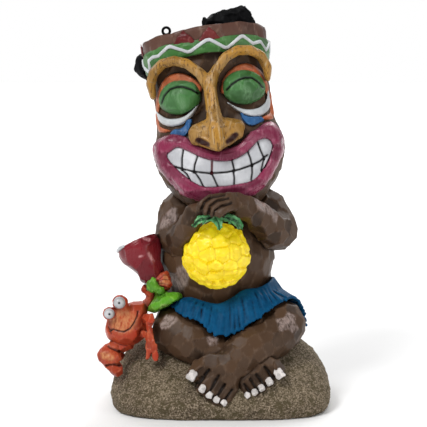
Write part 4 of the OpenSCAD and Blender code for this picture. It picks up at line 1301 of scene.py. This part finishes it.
eye_paint = resin("eye_paint", (0.62, 0.62, 0.64), (0.80, 0.80, 0.80), (0.006, 0.006, 0.008), gloss=0.2,
    brush=0.3, wash_and_shade=0.3, depth=1.5)
crab_eyes = together([ball(at, size, segments=48) for at, size, _ in eye_places], "crab_eye_balls")
apply_modifier(crab_eyes, "SUBSURF", levels=1, render_levels=1)
for at, size, look in eye_places:
    front = np.array(at) + size * np.array(look) / np.linalg.norm(look)
    cut(crab_eyes, [front, front + (0.01, 0, 0)], 2.4, 0.1, mask="ink")
    points = read_skin(crab_eyes)[0]
    rim = np.abs(np.linalg.norm((points - at)[:, (0, 2)], axis=1) - size * 0.86)
    own = np.linalg.norm(points - at, axis=1) < size * 1.1
    mark(crab_eyes, "ink", 0.35 * np.clip(1 - rim / 0.8, 0, 1) * own)
seat(crab_eyes, eye_paint, "eye_resin", "crab_eyes")

lid_rings = []
for at, size, look in eye_places:
    bpy.ops.object.select_all(action="DESELECT")
    turn = Vector(look).to_track_quat("Z", "Y").to_euler()
    bpy.ops.mesh.primitive_torus_add(
        major_radius=size * 0.93 * mm, minor_radius=1.5 * mm, major_segments=48, minor_segments=14,
        location=(Vector(at) + Vector((0, 1.2, 0))) * mm, rotation=turn)
    lid_rings.append(bpy.context.object)
crab_lids = clay("crab_lids", lid_rings, grain=0.6, soften=2)
chip(crab_lids, 3.5, seed=95, limit=0.4)
seat(crab_lids, crab_paint, "crab_resin")

lower_claw = clay("crab_lower_claw_casting", [
    *limb(((-94, -32, 65), 8), ((-104, -37, 62), 8), ((-110, -40, 57), 9.5), segments=22),
    hulled(((-112.5, -43, 55), (10, 9, 8.5)), ((-104, -47, 53.5), (6, 6, 5.5)), segments=22),
    hulled(((-111, -43, 50), (7.5, 8, 7)), ((-102.5, -48, 41.5), (6.6, 6.5, 6)), segments=22),
], grain=0.9, soften=2)
chip(lower_claw, 7, seed=92, tilt=6, limit=1.0)
claw_mouth = [(-114, -54, 46), (-106, -54, 48.5), (-97, -50, 46.5)]
claw_wrist = [(-111, -50, 65), (-101, -44, 60), (-96, -42, 55)]
for line, width, depth in ((claw_mouth, 2.2, 1.8), (claw_wrist, 1.8, 1.2)):
    cut(lower_claw, line, width, depth, mask="ink", strength=0.8, through=(0, 1, 0))
cut(lower_claw, [(-115, -50, 57), (-108, -50, 55)], 7, 0, mask="worn", through=(0, 1, 0))
seat(lower_claw, crab_paint, "crab_resin", "crab_lower_claw")

raised_claw = clay("crab_raised_claw_casting", [
    *limb(((-77, -24, 99), 6), ((-70, -23, 106), 5), ((-69, -23, 114), 5), ((-65, -22, 119), 5),
        segments=16),
    *limb(((-70, -23, 113), 4.5), ((-75, -25, 118), 4), ((-77, -26, 121), 1.8), segments=12),
    hulled(((-63, -24, 121), 5.5), ((-57, -27, 124), (8.6, 8, 8)), segments=22),
    hulled(((-58, -27, 124.5), (9.4, 8, 9)), ((-55, -27, 135), (2.6, 3, 2.4)),
        ((-70.5, -31, 122.5), (2.2, 3, 2.2)), segments=20),
], grain=0.8, soften=2)
chip(raised_claw, 5.5, seed=93, tilt=7, limit=1.0, worn=[(-56, -33, 127, 4)])
for dx in (-5, -1.5, 2.5, 6):
    line = [(-66, -31, 125), (-57, -36, 127 + dx), (-50, -34, 125 + 1.3 * dx)]
    cut(raised_claw, line, 1.0, 0.5, mask="ink", strength=0.5, through=(0, 1, 0))
seat(raised_claw, crab_paint, "crab_resin", "crab_raised_claw")

crab_legs = clay("crab_legs_casting", [
    *limb(((-76, -36, 90), 4), ((-69, -46, 93.5), 4.4), ((-70, -50, 84), 2.6), ((-70.5, -52, 73), 3.3),
        ((-71.5, -56, 56), 2.2), segments=14),
    *limb(((-78, -40, 76), 3.4), ((-69, -50, 77), 2.4), ((-65.5, -55, 66), 3.5), ((-63.5, -58, 54), 1.9),
        segments=14),
    *limb(((-90, -12, 72), 4), ((-102, 2, 68), 4), ((-104, 5, 52), 3.4), ((-99, 6, 38), 2), segments=14),
    *limb(((-84, -12, 74), 4), ((-94, 12, 70), 4), ((-97, 17, 56), 3.4), ((-93, 19, 42), 2), segments=14),
], grain=0.8, soften=2)
chip(crab_legs, 5, seed=94, tilt=9, stretch=(1, 1, 1.8), limit=1.0)
for start, end in [((-72, -52, 88), (-66, -52, 88)), ((-74, -56, 75), (-66, -56, 75))]:
    cut(crab_legs, [start, end], 1.8, 0.9, mask="ink", strength=0.7)
seat(crab_legs, crab_paint, "crab_resin", "crab_legs")

# ---- Cocktail glass -------------------------------------------------------------------------
# A wine-red resin goblet with a crust of white sugar on part of its rim, over a lime-green stem
# and foot. Both are turned forms with a few flat chips, and they lean away from the figure.
glass_place = (
    Matrix.Translation(Vector((-55, -30, 104)) * mm)
    @ Matrix.Rotation(math.radians(-26), 4, "Y")
    @ Matrix.Rotation(math.radians(-16), 4, "X")
)


def turned(name, profile, place):
    """A form turned on a lathe from a list of radii and heights, closed on its axis."""
    profile = [(max(r, 0.02), z) for r, z in profile]
    mesh = bpy.data.meshes.new(name)
    mesh.from_pydata([(r, 0, z) for r, z in profile], [(i, i + 1) for i in range(len(profile) - 1)], [])
    piece = bpy.data.objects.new(name, mesh)
    bpy.context.scene.collection.objects.link(piece)
    hold(piece)
    bpy.ops.object.mode_set(mode="EDIT")
    bpy.ops.mesh.select_all(action="SELECT")
    bpy.ops.mesh.spin(steps=72, angle=2 * math.pi, center=(0, 0, 0), axis=(0, 0, 1))
    bpy.ops.mesh.select_all(action="SELECT")
    bpy.ops.mesh.remove_doubles(threshold=0.05)
    bpy.ops.mesh.normals_make_consistent(inside=False)
    bpy.ops.object.mode_set(mode="OBJECT")
    piece.data.transform(place @ Matrix.Scale(mm, 4))
    return piece


def smooth_profile(points):
    """Rounds a list of radii and heights into a flowing profile."""
    points = np.array(points, float)
    padded = np.vstack([points[:1], points, points[-1:]])
    out = []
    for a, b, c, d in zip(padded, padded[1:], padded[2:], padded[3:]):
        out += [smooth_step(a, b, c, d, t) for t in np.linspace(0, 1, 8, endpoint=False)]
    out.append(points[-1])
    return [tuple(p) for p in out]


bowl_profile = smooth_profile([(0, 20), (5, 22), (9, 25), (12, 30), (13.2, 36), (13.5, 40), (15.5, 45),
    (19, 51), (21.3, 57), (22, 63), (21.5, 67.5)])
bowl_profile += smooth_profile([(20, 68.4), (18.6, 66.5), (17, 63.5), (0, 63)])
goblet = turned("goblet", bowl_profile, glass_place)
goblet = clay("glass_bowl_casting", [goblet], grain=0.9, soften=1)
chip(goblet, 15, seed=101, tilt=3, stretch=(1, 1, 1.3), limit=0.9, flat=0.7)
# Pale pink patches on the bowl are painted highlights.
goblet_gleams = [
    ([(-71, -50, 155), (-67, -50, 147)], 3.2), ([(-80, -50, 152), (-77, -50, 153)], 2.2),
    ([(-76, -50, 170), (-71, -50, 168)], 3.0),
]
for gleam, width in goblet_gleams:
    cut(goblet, gleam, width, 0, mask="worn", through=(0, 1, 0))
goblet_paint = resin(
    "goblet_paint", (0.165, 0.010, 0.016), (0.280, 0.045, 0.055), (0.035, 0.003, 0.006), (0.600, 0.300, 0.310),
    gloss=0.28, brush=0.35, wash_and_shade=0.8)
seat(goblet, goblet_paint, "cup_resin", "glass_bowl")

stem_profile = smooth_profile([(0, -3), (15, -2.6), (18, 0), (17.6, 3), (13, 6.5), (8, 9.5), (4.8, 14),
    (4.2, 19), (5.2, 23), (7, 26), (0, 27)])
stem = turned("stem", stem_profile, glass_place)
stem = clay("glass_stem_casting", [
    stem,
    hulled(((-60, -36, 119), 4.2), ((-70, -38, 126), 3), ((-72, -37, 120), 2), segments=14),
    hulled(((-64, -36, 124), 3.2), ((-67, -38, 131), 2.2), segments=14),
], grain=0.8, soften=2)
# The pale green patch on the foot's front is a painted highlight.
chip(stem, 10, seed=102, tilt=4, limit=0.8, flat=0.7, worn=[(-57, -46, 106, 6)])
stem_paint = resin("stem_paint", (0.080, 0.260, 0.016), (0.260, 0.520, 0.080), (0.006, 0.050, 0.006),
    (0.40, 0.62, 0.16), gloss=0.25, brush=0.7, wash_and_shade=0.8, depth=4.0)
seat(stem, stem_paint, "stem_resin", "glass_stem")

sugar_lumps = []
draw = np.random.default_rng(17)
crumb_count = 26
for k in range(crumb_count):
    turn = math.radians(150 + 85 * k / (crumb_count - 1))
    r = 20.6 + draw.uniform(-0.8, 0.8)
    high = 68 + draw.uniform(-1, 0.6)
    at = np.array(glass_place @ Vector((r * math.cos(turn) * mm, r * math.sin(turn) * mm, high * mm))) / mm
    size = (draw.uniform(1.4, 2.2), draw.uniform(1.4, 2.2), draw.uniform(1.2, 1.8))
    sugar_lumps.append(ball(tuple(at), size, segments=10))
sugar = clay("glass_sugar_rim", sugar_lumps, grain=0.6, soften=1)
rough_up(sugar, 1.2, 0.8)
seat(sugar, white_paint, "teeth_resin")

# ---- Solar unit in the back -----------------------------------------------------------------
# A black moulded housing let into the figure's back, with a dark panel of cells on its slope, a
# ribbed battery door held by one cross-head screw, and a small slide switch below.
housing_plastic = moulded("housing_plastic", (0.012, 0.012, 0.013), (0.020, 0.020, 0.022), 0.42,
    bump=0.00015)
for node in ("solar_housing", "battery_door", "switch_body"):
    coat(node, housing_plastic)
coat("switch_slider", moulded("switch_plastic", (0.62, 0.62, 0.60), (0.70, 0.70, 0.68), 0.35))

panel_glass, panel_shader, add, put, place = new_paint("panel_glass")
panel_low, panel_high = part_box("solar_panel")
panel_middle = (panel_low + panel_high) / 2
slope = math.radians(55.7)
laid = add(
    "Mapping", {"vector_type": "TEXTURE"}, Vector=place, Location=tuple(panel_middle), Rotation=(-slope, 0, 0))
cells = add("TexBrick", {"offset": 0.0, "squash": 1.0}, Vector=laid, Scale=1.0)
cells.inputs["Brick Width"].default_value = 0.0148
cells.inputs["Row Height"].default_value = 0.0436
cells.inputs["Mortar Size"].default_value = 0.0003
cells.inputs["Color1"].default_value = (0.006, 0.012, 0.040, 1)
cells.inputs["Color2"].default_value = (0.008, 0.016, 0.052, 1)
cells.inputs["Mortar"].default_value = (0.30, 0.31, 0.33, 1)
fingers = add("TexWave", {"wave_type": "BANDS", "bands_direction": "Y"}, Vector=laid, Scale=160.0)
flecks = add("TexVoronoi", {"feature": "F1"}, Vector=place, Scale=420.0)
finger_lines = ramped(add, fingers.outputs["Fac"], 0.93, 1.0)
colour = mixed(add, finger_lines, cells.outputs["Color"], (0.16, 0.17, 0.19))
colour = mixed(add, 0.25, colour, flecks.outputs["Color"], mode="OVERLAY")
put(panel_shader, "Base Color", colour)
panel_shader.inputs["Roughness"].default_value = 0.12
panel_shader.inputs["Coat Weight"].default_value = 0.8
panel_shader.inputs["Coat Roughness"].default_value = 0.05
coat("solar_panel", panel_glass)

screw_steel = moulded("screw_steel", (0.50, 0.50, 0.50), (0.60, 0.60, 0.59), 0.28, scale=900.0, metal=1.0)
for node in ("door_screw", "housing_screws", "battery_contacts"):
    coat(node, screw_steel)

board_laminate, board_shader, add, put, place = new_paint("board_laminate")
tracks = add("TexBrick", Vector=place, Scale=260.0).outputs["Fac"]
weave = add("TexNoise", Vector=place, Scale=800.0, Detail=2.0).outputs["Fac"]
green = mixed(add, weave, (0.012, 0.090, 0.035), (0.020, 0.125, 0.050))
put(board_shader, "Base Color", mixed(add, tracks, green, (0.035, 0.190, 0.080)))
board_shader.inputs["Roughness"].default_value = 0.35
coat("circuit_board", board_laminate)

cell_wrap, cell_shader, add, put, place = new_paint("cell_wrap")
cell_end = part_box("battery_cell")[1].x
along_cell = add("SeparateXYZ", Vector=place).outputs[0]
bare_end = ramped(add, along_cell, cell_end - 0.0022, cell_end - 0.0018)
band_end = ramped(add, along_cell, cell_end - 0.012, cell_end - 0.0117)
wrap = mixed(add, band_end, (0.020, 0.140, 0.050), (0.55, 0.42, 0.12))
put(cell_shader, "Base Color", mixed(add, bare_end, wrap, (0.60, 0.60, 0.60)))
put(cell_shader, "Metallic", bare_end)
cell_shader.inputs["Roughness"].default_value = 0.3
coat("battery_cell", cell_wrap)
